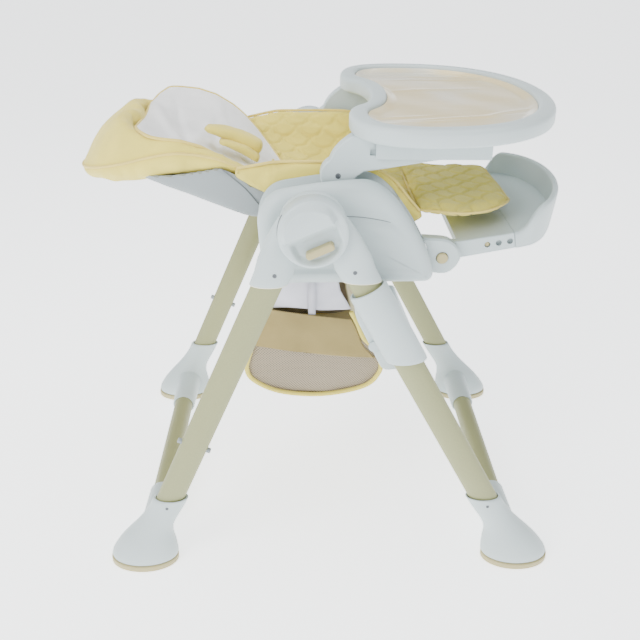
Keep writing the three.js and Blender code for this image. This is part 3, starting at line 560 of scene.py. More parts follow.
sides = {"right": -1, "left": 1}
for kind, bodyName in (("front", "front_frame"), ("rear", "rear_frame")):
    way, lean, down, out = legFrame(kind)
    mouth = alongAt(kind, foot["height"][-1])
    for sideName, side in sides.items():
        long = np.linspace(leg["tubeTop"], alongAt(kind, 62), 12)
        rings = legRings(kind, side, long, leg["beside"], leg["wide"], leg["thick"])
        piece = loft(f"{kind}Tube_{sideName}", rings, creamPaint)
        finish(piece, bodyName, "cream_paint", f"{kind}_leg_{sideName}")

        # foot: level ovals that narrow into the leg's socket
        keys = np.array(foot["height"])
        z = np.concatenate([keys[:3], np.linspace(keys[3], keys[-1], 22)])
        shape = {k: np.interp(z, keys, foot[k]) for k in ("long", "wide", "shift")}
        for line in shape.values():
            eased(line[3:], 3)    # the sole's own edge stays crisp
        turn = np.linspace(0, 2 * math.pi, 48, endpoint=False)
        middleX = axisX(kind, z) + way * shape["shift"]
        middle = np.stack([middleX, np.full(len(z), side * leg["plane"]), z], -1)
        long, wide = (shape[k][:, None, None] for k in ("long", "wide"))
        rings = middle[:, None] + long * np.cos(turn)[None, :, None] * np.array([way, 0, 0])
        rings = rings + wide * np.sin(turn)[None, :, None] * np.array([0, 1, 0])
        gapWide, gapThick = leg["wide"] + 1, leg["thick"] + 1
        inner = legRings(kind, side, [mouth, mouth + 8], leg["beside"], gapWide, gapThick, 48, 1.0)
        last = rings[-1:]
        rings = np.concatenate([rings, last * 0.6 + inner[:1] * 0.4 + 1.2 * -down, inner])
        piece = loft(f"{kind}Foot_{sideName}", rings, whitePlastic, 50)
        finish(piece, bodyName, "white_plastic", f"{kind}_foot_{sideName}")

        # the socket for the round floor tube, on the foot's inner side
        crossX = axisX(kind, foot["cross"])
        y = np.array([148, 147, 147.5, 150, 200, 262, 262])
        r = np.array([19.4, 20.5, 22.5, 23.4, 24.5, 26, 4])
        ring = np.stack([np.cos(turn), 0 * turn, np.sin(turn)], -1)
        boss = np.array([crossX, 0, foot["cross"]]) + r[:, None, None] * ring[None]
        boss[:, :, 1] = side * y[:, None]
        finish(loft(f"{kind}Boss_{sideName}", boss, whitePlastic, 50), bodyName, "white_plastic")

        soleX, soleY = axisX(kind, foot["sole"]), side * leg["plane"]
        soleLoop = np.stack([58 * np.cos(turn) + soleX, 37 * np.sin(turn) + soleY], -1)
        piece = softSlab(f"{kind}Sole_{sideName}", soleLoop, 0, foot["sole"], 2.2, beigePlastic, level, 1.6)
        finish(piece, bodyName, "beige_plastic", f"{kind}_sole_{sideName}")
        spot = np.array([0, 0, hubZ]) + (mouth + 12) * down + leg["beside"] * out
        spot[1] = side * (leg["plane"] + 17.6)
        screw(f"{kind}FootScrew_{sideName}", spot, (0, side, 0), bodyName, 2.6)
    crossX = axisX(kind, foot["cross"])
    y = np.linspace(-252, 252, 8)
    ring = foot["tube"] * np.stack([np.cos(turn), 0 * turn, np.sin(turn)], -1)
    rods = np.array([crossX, 0, foot["cross"]]) + np.broadcast_to(ring, (8, 48, 3)).copy()
    rods[:, :, 1] = y[:, None]
    piece = loft(f"{kind}FloorTube", rods, creamPaint)
    finish(piece, bodyName, "cream_paint", f"{kind}_cross_tube")
print("legs and feet made")


# hubs
hub = {"face": 299.5, "tilt": 24.3, "grip": 13, "recess": 9.5}
neck = {
    "along": [6, 20, 36, 52, 68, 84, 96, 104, 105.5, 105.5, 98],
    "wide": [25, 26, 27, 27.4, 27.4, 27, 26.6, 26.2, 25.2, 22.8, 22.6],
    "frontThick": [15, 15, 15.5, 16, 16.6, 17, 17.2, 17.4, 16.6, 13.8, 13.6],
    "frontY": [272, 272, 272, 272.5, 271.5, 270, 270, 270, 270, 270, 270],
    "rearThick": [13, 13, 14.5, 16.5, 17.4, 17.6, 17.4, 17.4, 16.6, 13.8, 13.6],
    "rearY": [259, 260, 262, 265, 268, 269.6, 270, 270, 270, 270, 270],
}


def hubHeight(x, z):
    # the cover's face: a half-moon grip above a slanted line, a hollow below it that eases out at the rim
    t = math.radians(hub["tilt"])
    u, v = x * math.cos(t) + z * math.sin(t), -x * math.sin(t) + z * math.cos(t)
    r = np.hypot(x, z)
    grip = smoothStep((v - 5.6) / 2.0) * smoothStep((47.5 - r) / 8) * smoothStep((41 - u) / 8)
    crown = 0.75 + 0.25 * smoothStep((30 - np.abs(v - 24)) / 30)
    hollow = smoothStep((6 - v) / 15) * smoothStep((47 - r) / 10) * smoothStep((38 - np.abs(u + 1)) / 9)
    edge = -3.5 * (1 - np.sqrt(np.clip(1 - np.clip((r - 44) / 6, 0, 1) ** 2, 0, 1)))
    return hub["grip"] * grip * crown - hub["recess"] * hollow + edge


for sideName, side in sides.items():
    turn = np.linspace(0, 2 * math.pi, 128, endpoint=False)
    r = np.concatenate([np.linspace(1.0, 43, 40), np.linspace(44, 50, 12)])
    x, z = r[:, None] * np.cos(turn), r[:, None] * np.sin(turn)
    y = hub["face"] + hubHeight(x, z)
    face = np.stack([x, y, z + hubZ], -1)
    rim = np.stack([50 * np.cos(turn), np.full(128, 266.0), 50 * np.sin(turn) + hubZ], -1)
    rimIn = np.stack([48 * np.cos(turn), np.full(128, 264.5), 48 * np.sin(turn) + hubZ], -1)
    back = np.stack([2 * np.cos(turn), np.full(128, 264.5), 2 * np.sin(turn) + hubZ], -1)
    rings = np.concatenate([face, rim[None], rimIn[None], back[None]])
    piece = loft(f"hubCover_{sideName}", rings * (1, side, 1), whitePlastic, 60)
    finish(piece, "front_frame", "white_plastic", f"front_hub_{sideName}")

    # necks flare from the disc into the leg sockets; the socket's mouth turns in to the tube
    s, w, t, y0 = (np.array(neck[k], float) for k in ("along", "wide", "frontThick", "frontY"))
    beside = np.where(s < 70, w + 0.5, leg["beside"] - 1)    # the inner edge stays off the pivot's line
    rings = legRings("front", 1, s, beside, w, t, 48, smoothStep((s - 45) / 50))
    rings[:, :, 1] += (y0 - leg["plane"])[:, None]
    # near the disc the section is squarer: depth = |d| ** (1 - e) * t ** e, where e eases from 0.5 to 0
    ease = 0.5 * (1 - smoothStep((s - 40) / 50))[:, None]
    d = rings[:, :, 1] - y0[:, None]
    rings[:, :, 1] = y0[:, None] + np.sign(d) * np.abs(d) ** (1 - ease) * t[:, None] ** ease
    piece = loft(f"frontNeck_{sideName}", rings * (1, side, 1), whitePlastic, 50)
    finish(piece, "front_frame", "white_plastic")
    t, y0 = (np.array(neck[k], float) for k in ("rearThick", "rearY"))
    rings = legRings("rear", 1, s, beside, w, t, 48, smoothStep((s - 45) / 50))
    rings[:, :, 1] += (y0 - leg["plane"])[:, None]
    piece = loft(f"rearNeck_{sideName}", rings * (1, side, 1), whitePlastic, 50)
    finish(piece, "rear_frame", "white_plastic", f"rear_hub_{sideName}")
    ring = np.stack([np.cos(turn), 0 * turn, np.sin(turn)], -1)
    disc = np.array([0, 0, hubZ]) + np.array([40, 46, 48.5, 49, 49, 48, 4])[:, None, None] * ring
    disc[:, :, 1] = np.array([246.2, 246.4, 247.4, 249.5, 262.5, 263.6, 263.6])[:, None]
    piece = loft(f"rearDisc_{sideName}", disc * (1, side, 1), whitePlastic, 50)
    finish(piece, "rear_frame", "white_plastic")
    for kind, bodyName in (("front", "front_frame"), ("rear", "rear_frame")):
        way, lean, down, out = legFrame(kind)
        lip = legRings(kind, side, [104.6], leg["beside"] - 1, 25.3, 16.4, 48, 1.0)[0]
        piece = tube(f"{kind}Lip_{sideName}", lip, 1.0, trimCream, 8, True, up=(0.02, 0.01, 1))
        finish(piece, bodyName, "beige_plastic")
        spot = np.array([0, 0, hubZ]) + 83 * down + (leg["beside"] - 2) * out
        screw(f"{kind}HubScrew_{sideName}", spot + (0, side * 287.2, 0), (0, side, 0), bodyName)

    pin = np.array([0, 0, hubZ]) + np.array([5.2, 6, 6, 5.2])[:, None, None] * ring
    pin[:, :, 1] = np.array([244, 244.8, 287, 287.6])[:, None]
    piece = loft(f"pivotPin_{sideName}", pin * (1, side, 1), steelMaterial)
    finish(piece, "front_frame", "steel", f"pivot_pin_{sideName}")

    # the gap between cover and neck shows as a thin dark arc on the rear side: a tube painted as the shadow
    # in the gap
    arc = np.linspace(math.radians(150), math.radians(250), 40)
    path = np.stack([50.4 * np.cos(arc), np.full(40, side * 285.0), 50.4 * np.sin(arc) + hubZ], -1)
    finish(tube(f"hubGap_{sideName}", path, 0.8, paintedSeamShade, 6), "front_frame", "grey_plastic")
    piece = refined(f"foldButton_{sideName}", f"fold_button_{sideName}", beigePlastic, 0.8)
    finish(piece, f"fold_button_{sideName}", "beige_plastic", f"fold_button_{sideName}")
    piece = refined(f"trayHook_{sideName}", f"tray_hook_{sideName}", greyPlastic, 1.0)
    finish(piece, "rear_frame", "grey_plastic", f"tray_hook_{sideName}")
print("hubs made")


# side panels
panel = {
    "outline": [
        (-76, 499, 24), (-84, 614, 22), (-62, 648, 20), (14, 661, 30), (88, 667, 22),
        (122, 642, 20), (160, 588, 22), (182, 545, 20), (192, 503, 20),
    ],
    "middle": (56, 582),
    "inside": 157,
    "outside": 222,
    "soft": 19,
    "seam": [(40, 614), (75, 612), (105, 607), (128, 601), (143, 596)],
}


def panelFace(x, z):
    # outer face: a broad band that swells along the top, a raised cover below the seam, and a dished middle
    seam = np.interp(x, [p[0] for p in panel["seam"]], [p[1] for p in panel["seam"]])
    below = seam - z
    cover = smoothStep(below / 5) * smoothStep((x - 20) / 30)
    band = 3.0 * np.exp(-((below + 22) / 13) ** 2)
    roll = 4.0 * np.exp(-((below - 14) / 12) ** 2) * smoothStep((x - 30) / 30)
    return 1.5 * cover + band + roll - 3


for sideName, side in sides.items():
    loop = roundPoly(panel["outline"], 180)
    middle = np.array(panel["middle"], float)
    soft, face = panel["soft"], panel["outside"] - 5
    turn = np.linspace(0, math.pi / 2, 9)[:-1]
    edge = [(insetLoop(loop, soft * (1 - math.cos(a))), face - soft * (1 - math.sin(a))) for a in turn]
    inner = insetLoop(loop, soft)
    shrink = np.linspace(1, 0.02, 44)
    rings = [sideways(loop, panel["inside"]), sideways(loop, panel["inside"] + 1)]
    rings += [sideways(p, y) for p, y in edge]
    field = middle + shrink[:, None, None] * (inner - middle)
    relief = panelFace(field[:, :, 0], field[:, :, 1])
    depth = face + relief * smoothStep((1 - shrink) / 0.16)[:, None]
    rings += list(np.stack([field[:, :, 0], depth, field[:, :, 1]], -1))
    piece = loft(f"sidePanel_{sideName}", np.array(rings) * (1, side, 1), whitePlastic, 50)
    finish(piece, "seat", "white_plastic", f"side_panel_{sideName}")
    # a thin tube of painted shadow along the seam at the raised cover's top edge
    line = curveThrough(panel["seam"][:-1], 50)
    y = face + panelFace(line[:, 0], line[:, 1])
    path = np.stack([line[:, 0], side * (y + 0.15), line[:, 1]], -1)
    finish(tube(f"panelSeam_{sideName}", path, 0.55, paintedSeamShade, 6), "seat", "grey_plastic")
print("side panels made")

# height sliders
slider = {
    "along": [128, 122, 122.5, 126, 180, 250, 257, 258, 258, 250],
    "wide": [23, 26.5, 29, 30, 30, 30, 29.4, 28.4, 24, 23.4],
    "thick": [14, 17, 20, 21, 21, 21, 20.4, 19.4, 15, 14.4],
    "plate": [(62, 502, 4), (126, 502, 4), (162, 420, 10), (152, 374, 12), (112, 369, 12), (66, 464, 14)],
    "plateY": (214, 252),
    "screw": (93, 252.4, 417),
}
for sideName, side in sides.items():
    s = np.array(slider["along"])
    mouths = 0.75 * smoothStep((s - 190) / 60)
    sleeve = legRings("front", 1, s, leg["beside"], slider["wide"], slider["thick"], 48, mouths)
    piece = loft(f"sliderSleeve_{sideName}", sleeve * (1, side, 1), whitePlastic, 50)
    finish(piece, "seat", "white_plastic", f"height_slider_{sideName}")
    # the plate hangs from the panel's lower edge and carries the sleeve on its outer face
    plateLoop = roundPoly(slider["plate"], 120)
    piece = softSlab(
        f"sliderPlate_{sideName}", plateLoop, *slider["plateY"], 2.5, whitePlastic,
        lambda p, y: sideways(p, side * y),
    )
    finish(piece, "seat", "white_plastic")
    piece = refined(f"heightLock_{sideName}", f"height_lock_{sideName}", whitePlastic, 0.8)
    finish(piece, f"height_lock_{sideName}", "white_plastic", f"height_lock_{sideName}")
    screw(f"sliderScrew_{sideName}", slider["screw"] * np.array([1, side, 1]), (0, side, 0), "seat", 3.4)
print("sliders made")


# tray
tray = {
    "back": 54, "front": 390, "half": 270, "low": 729, "top": 754, "rim": 27, "belly": 104, "deep": 52,
    "soft": 8,
    "guides": [(92, 262, 191, 198, 694, 731), (92, 262, 160, 165, 712, 731)],
    # the insert's raised creases: middle x and y, half length, turn in degrees, half width
    "creases": [
        (150, -178, 70, 12, 5), (215, -150, 90, 14, 4), (120, -150, 50, 16, 4), (300, -110, 60, 32, 5),
        (180, 178, 80, -4, 5), (120, 205, 50, -14, 4), (255, 150, 90, 3, 5), (300, 160, 50, -20, 4),
        (210, 60, 60, 10, 6),
    ],
}


def bezier(a, b, c, d, count=30):
    t = np.linspace(0, 1, count, endpoint=False)[:, None]
    a, b, c, d = (np.asarray(p, float) for p in (a, b, c, d))
    return (1 - t) ** 3 * a + 3 * t * (1 - t) ** 2 * b + 3 * t**2 * (1 - t) * c + t**3 * d


def trayLoop(count=300):
    # half of the outline as cubic curves, then its mirror, walked at equal steps
    back, front, half, belly, deep = (tray[k] for k in ("back", "front", "half", "belly", "deep"))
    parts = [
        bezier((back + 12, belly), (back + 3, belly + 15), (back - 1, belly + 35), (back, belly + 60)),
        bezier((back, belly + 60), (back + 4, half - 30), (back + 40, half - 2), (back + 110, half)),
        bezier((back + 110, half), (front - 60, half), (front, 130), (front, 0), 60),
    ]
    upper = np.vstack(parts + [[(front, 0)]])
    far = back + deep
    bellyCurve = bezier((back + 12, -belly), (far, 24 - belly), (far, belly - 24), (back + 12, belly), 60)
    lower = (upper * (1, -1))[::-1][1:]
    loop = softened(evenly(np.vstack([upper, lower, bellyCurve[1:]]), count), 4)
    return loop if area2(loop) > 0 else loop[::-1]


def softened(loop, times):
    for _ in range(times):
        loop = 0.25 * np.roll(loop, 1, 0) + 0.5 * loop + 0.25 * np.roll(loop, -1, 0)
    return loop


outer = trayLoop()
# the rim's section: how far in from the outline, and how high
low, top, rimIn, soft = (tray[k] for k in ("low", "top", "rim", "soft"))
quarter = np.linspace(0, math.pi / 2, 6)
profile = [(3.5, low), (1, low + 1.2), (0, low + 4)]
profile += [(soft * (1 - math.cos(a)), top - soft * (1 - math.sin(a))) for a in quarter]
profile += [(14, top + 0.8), (20, top + 0.9), (rimIn - 3, top + 0.3)]
profile += [(rimIn - 0.8, top - 1.2), (rimIn, top - 4), (rimIn + 0.5, low + 9)]
rings = [level(softened(insetLoop(outer, d), int(d / 2)) if d > 0 else outer, z) for d, z in profile]
rim = loft("trayRim", rings, whitePlastic, 50)
finish(rim, "tray", "white_plastic", "tray")
for sideName, side in sides.items():
    for k, (x0, x1, y0, y1, z0, z1) in enumerate(tray["guides"]):
        loop = np.array([(x0, y0), (x1, y0), (x1, y1), (x0, y1)], float) * (1, side)
        guide = softSlab(f"trayGuide_{k}_{sideName}", evenly(loop, 60), z0, z1, 1.2, whitePlastic, level)
        finish(guide, "tray", "white_plastic")


def spanFill(loop, rows, cols):
    # points between the back and front of an outline, row by row across it: x = back + u * (front - back)
    y = loop[:, 1]
    top, low = int(np.argmax(y)), int(np.argmin(y))
    first, second = sorted((top, low))
    halves = [loop[first : second + 1], np.vstack([loop[second:], loop[: first + 1]])]
    at = np.sin(np.linspace(-math.pi / 2, math.pi / 2, rows)) * 0.9999
    at = y.min() + (y.max() - y.min()) * (at + 1) / 2
    edges = []
    for half in halves:
        order = np.argsort(half[:, 1])
        edges.append(np.interp(at, half[order, 1], half[order, 0]))
    back, front = np.minimum(*edges), np.maximum(*edges)
    u = np.linspace(0, 1, cols)
    return back[:, None] + u * (front - back)[:, None], np.broadcast_to(at[:, None], (rows, cols)).copy(), u


insertEdge = softened(insetLoop(outer, tray["rim"] + 1.0), 13)
x, y, u = spanFill(insertEdge, 150, 110)
edgeFade = np.clip(np.minimum(u, 1 - u) * 14, 0, 1)[None, :]
edgeFade = edgeFade * np.clip((insertEdge[:, 1].max() - np.abs(y)) / 24, 0, 1)
creases = 0.8 * ripple(np.stack([x, y, 0 * x], -1), 120, 3)
for cx, cy, long, turned, wide in tray["creases"]:
    a = math.radians(turned)
    du = (x - cx) * math.cos(a) + (y - cy) * math.sin(a)
    dv = -(x - cx) * math.sin(a) + (y - cy) * math.cos(a)
    creases = creases + 1.5 * np.exp(-((du / long) ** 2) - (dv / wide) ** 2)
film = low + 20 + edgeFade * creases - 5 * smoothStep(edgeFade)
points = np.stack([np.stack([x, y, z], -1) for z in (film, np.full(x.shape, low + 9.6))])
rows, cols = x.shape
count = rows * cols
faces = gridFaces(rows, cols, False)
faces += [[i + count for i in f[::-1]] for f in faces]
border = list(range(cols)) + [r * cols + cols - 1 for r in range(1, rows)]
border += [(rows - 1) * cols + c for c in range(cols - 2, -1, -1)]
border += [r * cols for r in range(rows - 2, 0, -1)]
faces += [[a, b, b + count, a + count] for a, b in zip(border, border[1:] + border[:1])]
insert = makeMesh("trayInsert", points, faces, honeyMaterial, 50)
finish(insert, "tray_insert", "honey_plastic", "tray_insert")
underLoop = softened(insetLoop(outer, 3.2), 2)
under = loft("trayUnder", [level(underLoop, low + 0.1), level(underLoop, low + 9)], whitePlastic)
finish(under, "tray", "white_plastic")
finish(refined("trayLatch", "tray_latch", greyPlastic, 1.5), "tray_latch", "grey_plastic", "tray_latch")
print("tray made")

# tray arms
for sideName, side in sides.items():
    piece = refined(f"trayArm_{sideName}", f"tray_arm_{sideName}", whitePlastic, 1.6)
    finish(piece, "tray_arms", "white_plastic", f"tray_arm_{sideName}")
    screw(f"armScrew_{sideName}", (38, side * 189.1, 667), (0, side, 0), "tray_arms", 4.2)

# calf rest and footrest
calf = {"x": 204, "z": 534, "tilt": 9.7, "half": 160, "lip": 50, "long": 216, "start": 120.4}
for sideName in sides:
    piece = refined(f"calfBracket_{sideName}", f"calf_bracket_{sideName}", whitePlastic, 2.0)
    finish(piece, "seat", "white_plastic", f"calf_bracket_{sideName}")
    piece = refined(f"calfButton_{sideName}", f"calf_button_{sideName}", beigePlastic, 0.8)
    finish(piece, f"calf_button_{sideName}", "beige_plastic", f"calf_button_{sideName}")
    piece = refined(f"footPin_{sideName}", f"footrest_pin_{sideName}", beigePlastic, 0.6)
    finish(piece, f"footrest_pin_{sideName}", "beige_plastic", f"footrest_pin_{sideName}")
finish(refined("calfFrame", "calf_frame", whitePlastic, 1.2), "calf_rest", "white_plastic", "calf_frame")


def calfPlace(points):
    # level about the calf rest's pivot, then tilted up and moved to it
    a = math.radians(calf["tilt"])
    p = np.asarray(points, float)
    x = p[..., 0] * math.cos(a) - p[..., 2] * math.sin(a) + calf["x"]
    z = p[..., 0] * math.sin(a) + p[..., 2] * math.cos(a) + calf["z"]
    return np.stack([x, p[..., 1], z], -1)


def footWall():
    # a wall carried round the front: height eases up from the rails, and its top edge is a half round
    start, half, long = calf["start"], calf["half"], calf["long"]
    nearSide = bezier((start, -half), (start + 10, -half), (start + 16, -half), (start + 22, -half), 10)
    nearArc = bezier((start + 22, -half), (start + 50, -half), (long, 60 - half), (long, 0), 50)
    path = np.vstack([nearSide, nearArc])
    path = np.vstack([path, [(long, 0)], (path * (1, -1))[::-1]])
    path = evenly(path, 160, closed=False)
    ahead = np.gradient(path, axis=0)
    inward = np.stack([-ahead[:, 1], ahead[:, 0]], -1)
    inward /= np.linalg.norm(inward, axis=1, keepdims=True)
    rise = smoothStep((path[:, 0] - start - 4) / 46)
    top = 13 + (calf["lip"] - 13) * rise
    low = -13 + 13 * smoothStep((path[:, 0] - 165) / 50)
    thick = 12 - 2 * rise
    turn = np.linspace(0, math.pi, 9)
    rings = []
    lean = 7 * rise
    for k in range(4):
        h = k / 4
        rings.append((-lean * (h**1.5) + 6 * (1 - h) ** 2 * rise, low + (top - 5 - low) * h))
    for a in turn:
        rings.append((-lean + thick / 2 * (1 - np.cos(a)), top - 5 + 5 * np.sin(a)))
    for k in range(1, 5):
        h = 1 - k / 4
        rings.append((thick - lean * (h**1.5) + 6 * (1 - h) ** 2 * rise, low + (top - 5 - low) * h))
    section = [np.column_stack([path + inward * d[:, None], z]) for d, z in rings]
    return np.array(section).transpose(1, 0, 2)


finish(loft("footWall", calfPlace(footWall()), whitePlastic, 50), "footrest", "white_plastic")
start, half, long = calf["start"], calf["half"], calf["long"]
planLoop = np.vstack([
    bezier((start, -half + 3), (start + 8, -half + 3), (start + 14, -half + 3), (start + 22, -half + 3), 8),
    bezier((start + 22, -half + 3), (start + 50, -half + 3), (long - 4, 60 - half), (long - 4, 0), 40),
])
planLoop = np.vstack([planLoop, [(long - 4, 0)], (planLoop * (1, -1))[::-1]])
planLoop = evenly(planLoop, 160)
piece = softSlab("footPlate", planLoop, 8, 11.6, 0.8, whitePlastic, lambda p, z: calfPlace(level(p, z)))
finish(piece, "footrest", "white_plastic", "footrest")
for sideName, side in sides.items():
    # the footrest's tongue slides in the rail's slot, and shows through the pin holes
    tongueLoop = roundPoly([(60, -4.6, 2), (126, -4.6, 2), (126, 4.6, 2), (60, 4.6, 2)], 60)
    tongue = softSlab(
        f"footTongue_{sideName}", tongueLoop, 148.5, 153.5, 0.6, whitePlastic,
        lambda p, y: calfPlace(sideways(p, side * y)),
    )
    finish(tongue, "footrest", "white_plastic")
print("calf rest made")


# soft goods


def clothPuff(piece, voxel, cap):
    # fills a closed body like a stuffed cover: voxel remesh, then cloth blown up from inside
    name, material = piece.name, piece.data.materials[0]
    work = bpy.data.objects.new(name + "Work", piece.data.copy())
    bpy.context.scene.collection.objects.link(work)
    remesh = work.modifiers.new("remesh", "REMESH")
    remesh.mode = "VOXEL"
    remesh.voxel_size = voxel
    fine = bakedMesh(work)
    work.modifiers.clear()
    work.data = fine
    start, outward = vertexValues(fine, "co"), vertexValues(fine, "normal")
    cloth = work.modifiers.new("cloth", "CLOTH")
    cloth.settings.use_pressure = True
    cloth.settings.uniform_pressure_force = 4.0
    cloth.settings.effector_weights.gravity = 0
    for step in range(1, 21):
        bpy.context.scene.frame_set(step)
    # only the outward part of each move is kept, up to the cap, so no edge draws away from its seam
    swell = ((vertexValues(bakedMesh(work), "co") - start) * outward).sum(1)
    swell = np.clip(swell, 0, cap)
    work.modifiers.clear()
    bpy.context.scene.frame_set(1)
    fine.vertices.foreach_set("co", (start + outward * swell[:, None]).ravel())
    fine.update()
    smooth = work.modifiers.new("smooth", "SUBSURF")
    smooth.levels = smooth.render_levels = 1
    filled = bakedMesh(work)
    bpy.data.objects.remove(work)
    filled.materials.clear()
    filled.materials.append(material)
    filled.shade_smooth()
    piece.data = filled
    print(name, "filled,", round(1000 * float(swell.mean()), 1), "mm on average")
    return piece


def bakedMesh(piece):
    bpy.context.view_layer.update()
    return bpy.data.meshes.new_from_object(piece.evaluated_get(bpy.context.evaluated_depsgraph_get()))


def vertexValues(mesh, kind):
    # one row per vertex, of its "co" or its "normal"
    values = np.empty(len(mesh.vertices) * 3)
    mesh.vertices.foreach_get(kind, values)
    return values.reshape(-1, 3)


def reshape(piece, rule):
    # moves every vertex by rule(points, normals), both in the drawing's millimetres
    mesh = piece.data
    p = vertexValues(mesh, "co") * 1000 - (1000 * hubX, 0, 0)
    q = rule(p, vertexValues(mesh, "normal")) / 1000 + (hubX, 0, 0)
    mesh.vertices.foreach_set("co", q.ravel())
    mesh.update()
    return piece


# seat cover: base, raised sides and rolled front, in one stuffed body
seat = {
    "start": -118, "end": 174, "half": 151,
    "topAt": [-118, -60, 40, 70, 90, 110, 128, 145, 160, 170, 174],
    "top": [670, 682, 683, 682, 676, 664, 648, 626, 608, 598, 593],
    "bottomAt": [-118, -92, -60, -20, 0, 120, 150, 174],
    "bottom": [664, 640, 622, 600, 566, 566, 576, 588],
    "floorAt": [-118, -60, 20, 150, 181],
    "floor": [650, 622, 598, 594, 588],
    "piping": 145.5, "lean": 0.045,    # the left wing stands a little higher
    "quilt": 24, "raised": 3.2, "sunk": 2.0,
}


def seatRings():
    # each ring is a U in section: the wing's outside and rounded top, an inner slope, and the seat's floor
    x = np.linspace(seat["start"], seat["end"], 110)
    top = eased(np.interp(x, seat["topAt"], seat["top"]), 3)
    low = np.interp(x, seat["bottomAt"], seat["bottom"])
    floor = np.minimum(np.interp(x, seat["floorAt"], seat["floor"]), top - 3)
    half = seat["half"]
    rings = []
    for xi, zt, zl, zf in zip(x, top, low, floor):
        tall, deep = zt - zl, zt - zf
        halfLine = [(-half + 2, zl), (-half, zl + 0.25 * tall), (-half + 0.5, zl + 0.6 * tall)]
        halfLine += [(-half + 3, zt - 6), (-half + 7, zt), (-half + 12, zt)]
        halfLine += [(-half + 16, zt - 4), (-half + 24, zf + 0.72 * deep), (-half + 34, zf + 0.38 * deep)]
        halfLine += [(-half + 52, zf + 0.12 * deep), (-half + 80, zf), (-40, zf - 1), (0, zf - 2)]
        halfLine = np.array(halfLine)
        line = np.vstack([halfLine, (halfLine * (-1, 1))[::-1][1:]])
        bottom = np.array([(half - 20, zl - 2), (0, zl - 3), (-half + 20, zl - 2)])
        bottom[:, 1] = np.minimum(bottom[:, 1], zf - 4)
        loop = evenly(np.vstack([line, bottom]), 160)
        rings.append(np.column_stack([np.full(160, xi), loop]))
    rings = np.array(rings)
    rings[:, :, 2] += seat["lean"] * rings[:, :, 1] * smoothStep((rings[:, :, 2] - 640) / 40)
    return rings


def seatDetail(p, n):
    # quilted on the child's side only, with a pressed seam across the back of the seat
    inside = smoothStep((150 - np.abs(p[:, 1])) / 20) * (n[:, 1] * np.sign(p[:, 1]) < 0.3)
    inside = inside * smoothStep((p[:, 2] - 586) / 8)
    around = np.abs(p[:, 1]) + 0.9 * (p[:, 2] - 590)
    quilt = scallops(p[:, 0], around, seat["quilt"])
    crease = 1.6 * ripple(p, 70, 5) + 0.8 * ripple(p, 28, 6)
    seam = -0.7 * np.exp(-(((p[:, 0] + 62) / 2.6) ** 2)) * (p[:, 2] > 600)
    return p + n * (inside * (quilt * seat["raised"] - seat["sunk"]) + crease * 0.8 + seam)[:, None]


seatCover = reshape(clothPuff(loft("seatCover", seatRings(), yellowCloth, 180), 0.006, 0.003), seatDetail)
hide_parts("seat_cushion")
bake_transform(seatCover)
for sideName, side in sides.items():
    x = np.linspace(-114, 170, 90)
    z = eased(np.interp(x, seat["topAt"], seat["top"]), 8)
    z = z + seat["lean"] * side * 145 * smoothStep((z - 640) / 40)
    path = np.stack([x, np.full(90, side * seat["piping"]), z], -1)
    piping = tube(f"seatPiping_{sideName}", path, 2.4, yellowPiping, 10)
    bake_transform(piping)
print("seat cover made")

# backrest shell
shell = {
    "x": [-296, -284, -268, -250, -225, -200, -170, -141, -118, -101, -84, -66, -50],
    "low": [655, 651, 647, 642, 632, 622, 610, 599, 590, 584, 582, 585, 592],
    "top": [658, 655, 652, 650, 651, 654, 659, 665, 655, 642, 632, 629, 628],
    "half": [100, 116, 128, 137, 142, 144, 145, 146, 146, 146, 146, 146, 146],
}
x = np.linspace(shell["x"][0], shell["x"][-1], 60)
low, top, half = (eased(np.interp(x, shell["x"], shell[k]), 3) for k in ("low", "top", "half"))
rings = []
for xi, zl, zt, h in zip(x, low, top, half):
    deep = zt - zl
    bend, inZ = min(16, 0.45 * deep), zl + 0.35 * deep + 3
    line = roundPoly([
        (-h + 3, zl, bend), (h - 3, zl, bend), (h, zt, 3), (h - 7, zt, 2),
        (h - 9, inZ, 8), (-h + 9, inZ, 8), (-h + 7, zt, 2), (-h, zt, 3),
    ])
    start = int(np.argmin(np.hypot(line[:, 0] + h, line[:, 1] - zt)))
    line = np.roll(line, -start, 0)
    rings.append(np.column_stack([np.full(120, xi), line]))
piece = loft("backShell", rings, greyPlastic, 50)
finish(piece, "backrest", "grey_plastic", "backrest_shell")
for sideName, side in sides.items():
    # a thin tube of painted shadow along each side edge of the shell
    line = curveThrough([(-138, 664), (-119, 648), (-101, 631), (-82, 607)], 40)
    path = np.stack([line[:, 0], np.full(40, side * 146.3), line[:, 1]], -1)
    finish(tube(f"shellRim_{sideName}", path, 1.0, paintedSeamShade, 6), "backrest", "grey_plastic")
piece = refined("reclineLever", "recline_lever", greyPlastic, 1.5)
finish(piece, "recline_lever", "grey_plastic", "recline_lever")
print("backrest shell made")

# hood: the padded head end and sides of the backrest
hood = {
    "tail": -92, "bend": -205, "end": -380, "half": 142,
    "at": [0, 0.14, 0.22, 0.3, 0.37, 0.45, 0.52, 0.6, 0.68, 0.8, 1.0],
    "rim": [656, 678, 684, 687, 684, 677, 669, 661, 654, 645, 637],
    "low": [651, 660, 656, 653, 649, 645, 642, 638, 635, 627, 620],
    "up": [2, 6, 11, 17, 23, 32, 46, 62, 72, 80, 84],
    "in": [8, 9, 10, 11, 12, 15, 26, 42, 56, 74, 84],
}


def hoodPlan(count=100):
    # half of the outline in plan, from the tail of the near side to the middle of the head end
    tail, bend, end, half = (hood[k] for k in ("tail", "bend", "end", "half"))
    line = np.vstack([
        bezier((tail, -half + 6), (tail - 30, -half), (bend + 40, -half), (bend, -half), 30),
        bezier((bend, -half), (bend - 105, -half), (end + 1, -0.72 * half), (end, 0), 60),
        [(end, 0)],
    ])
    return evenly(line, count, closed=False)


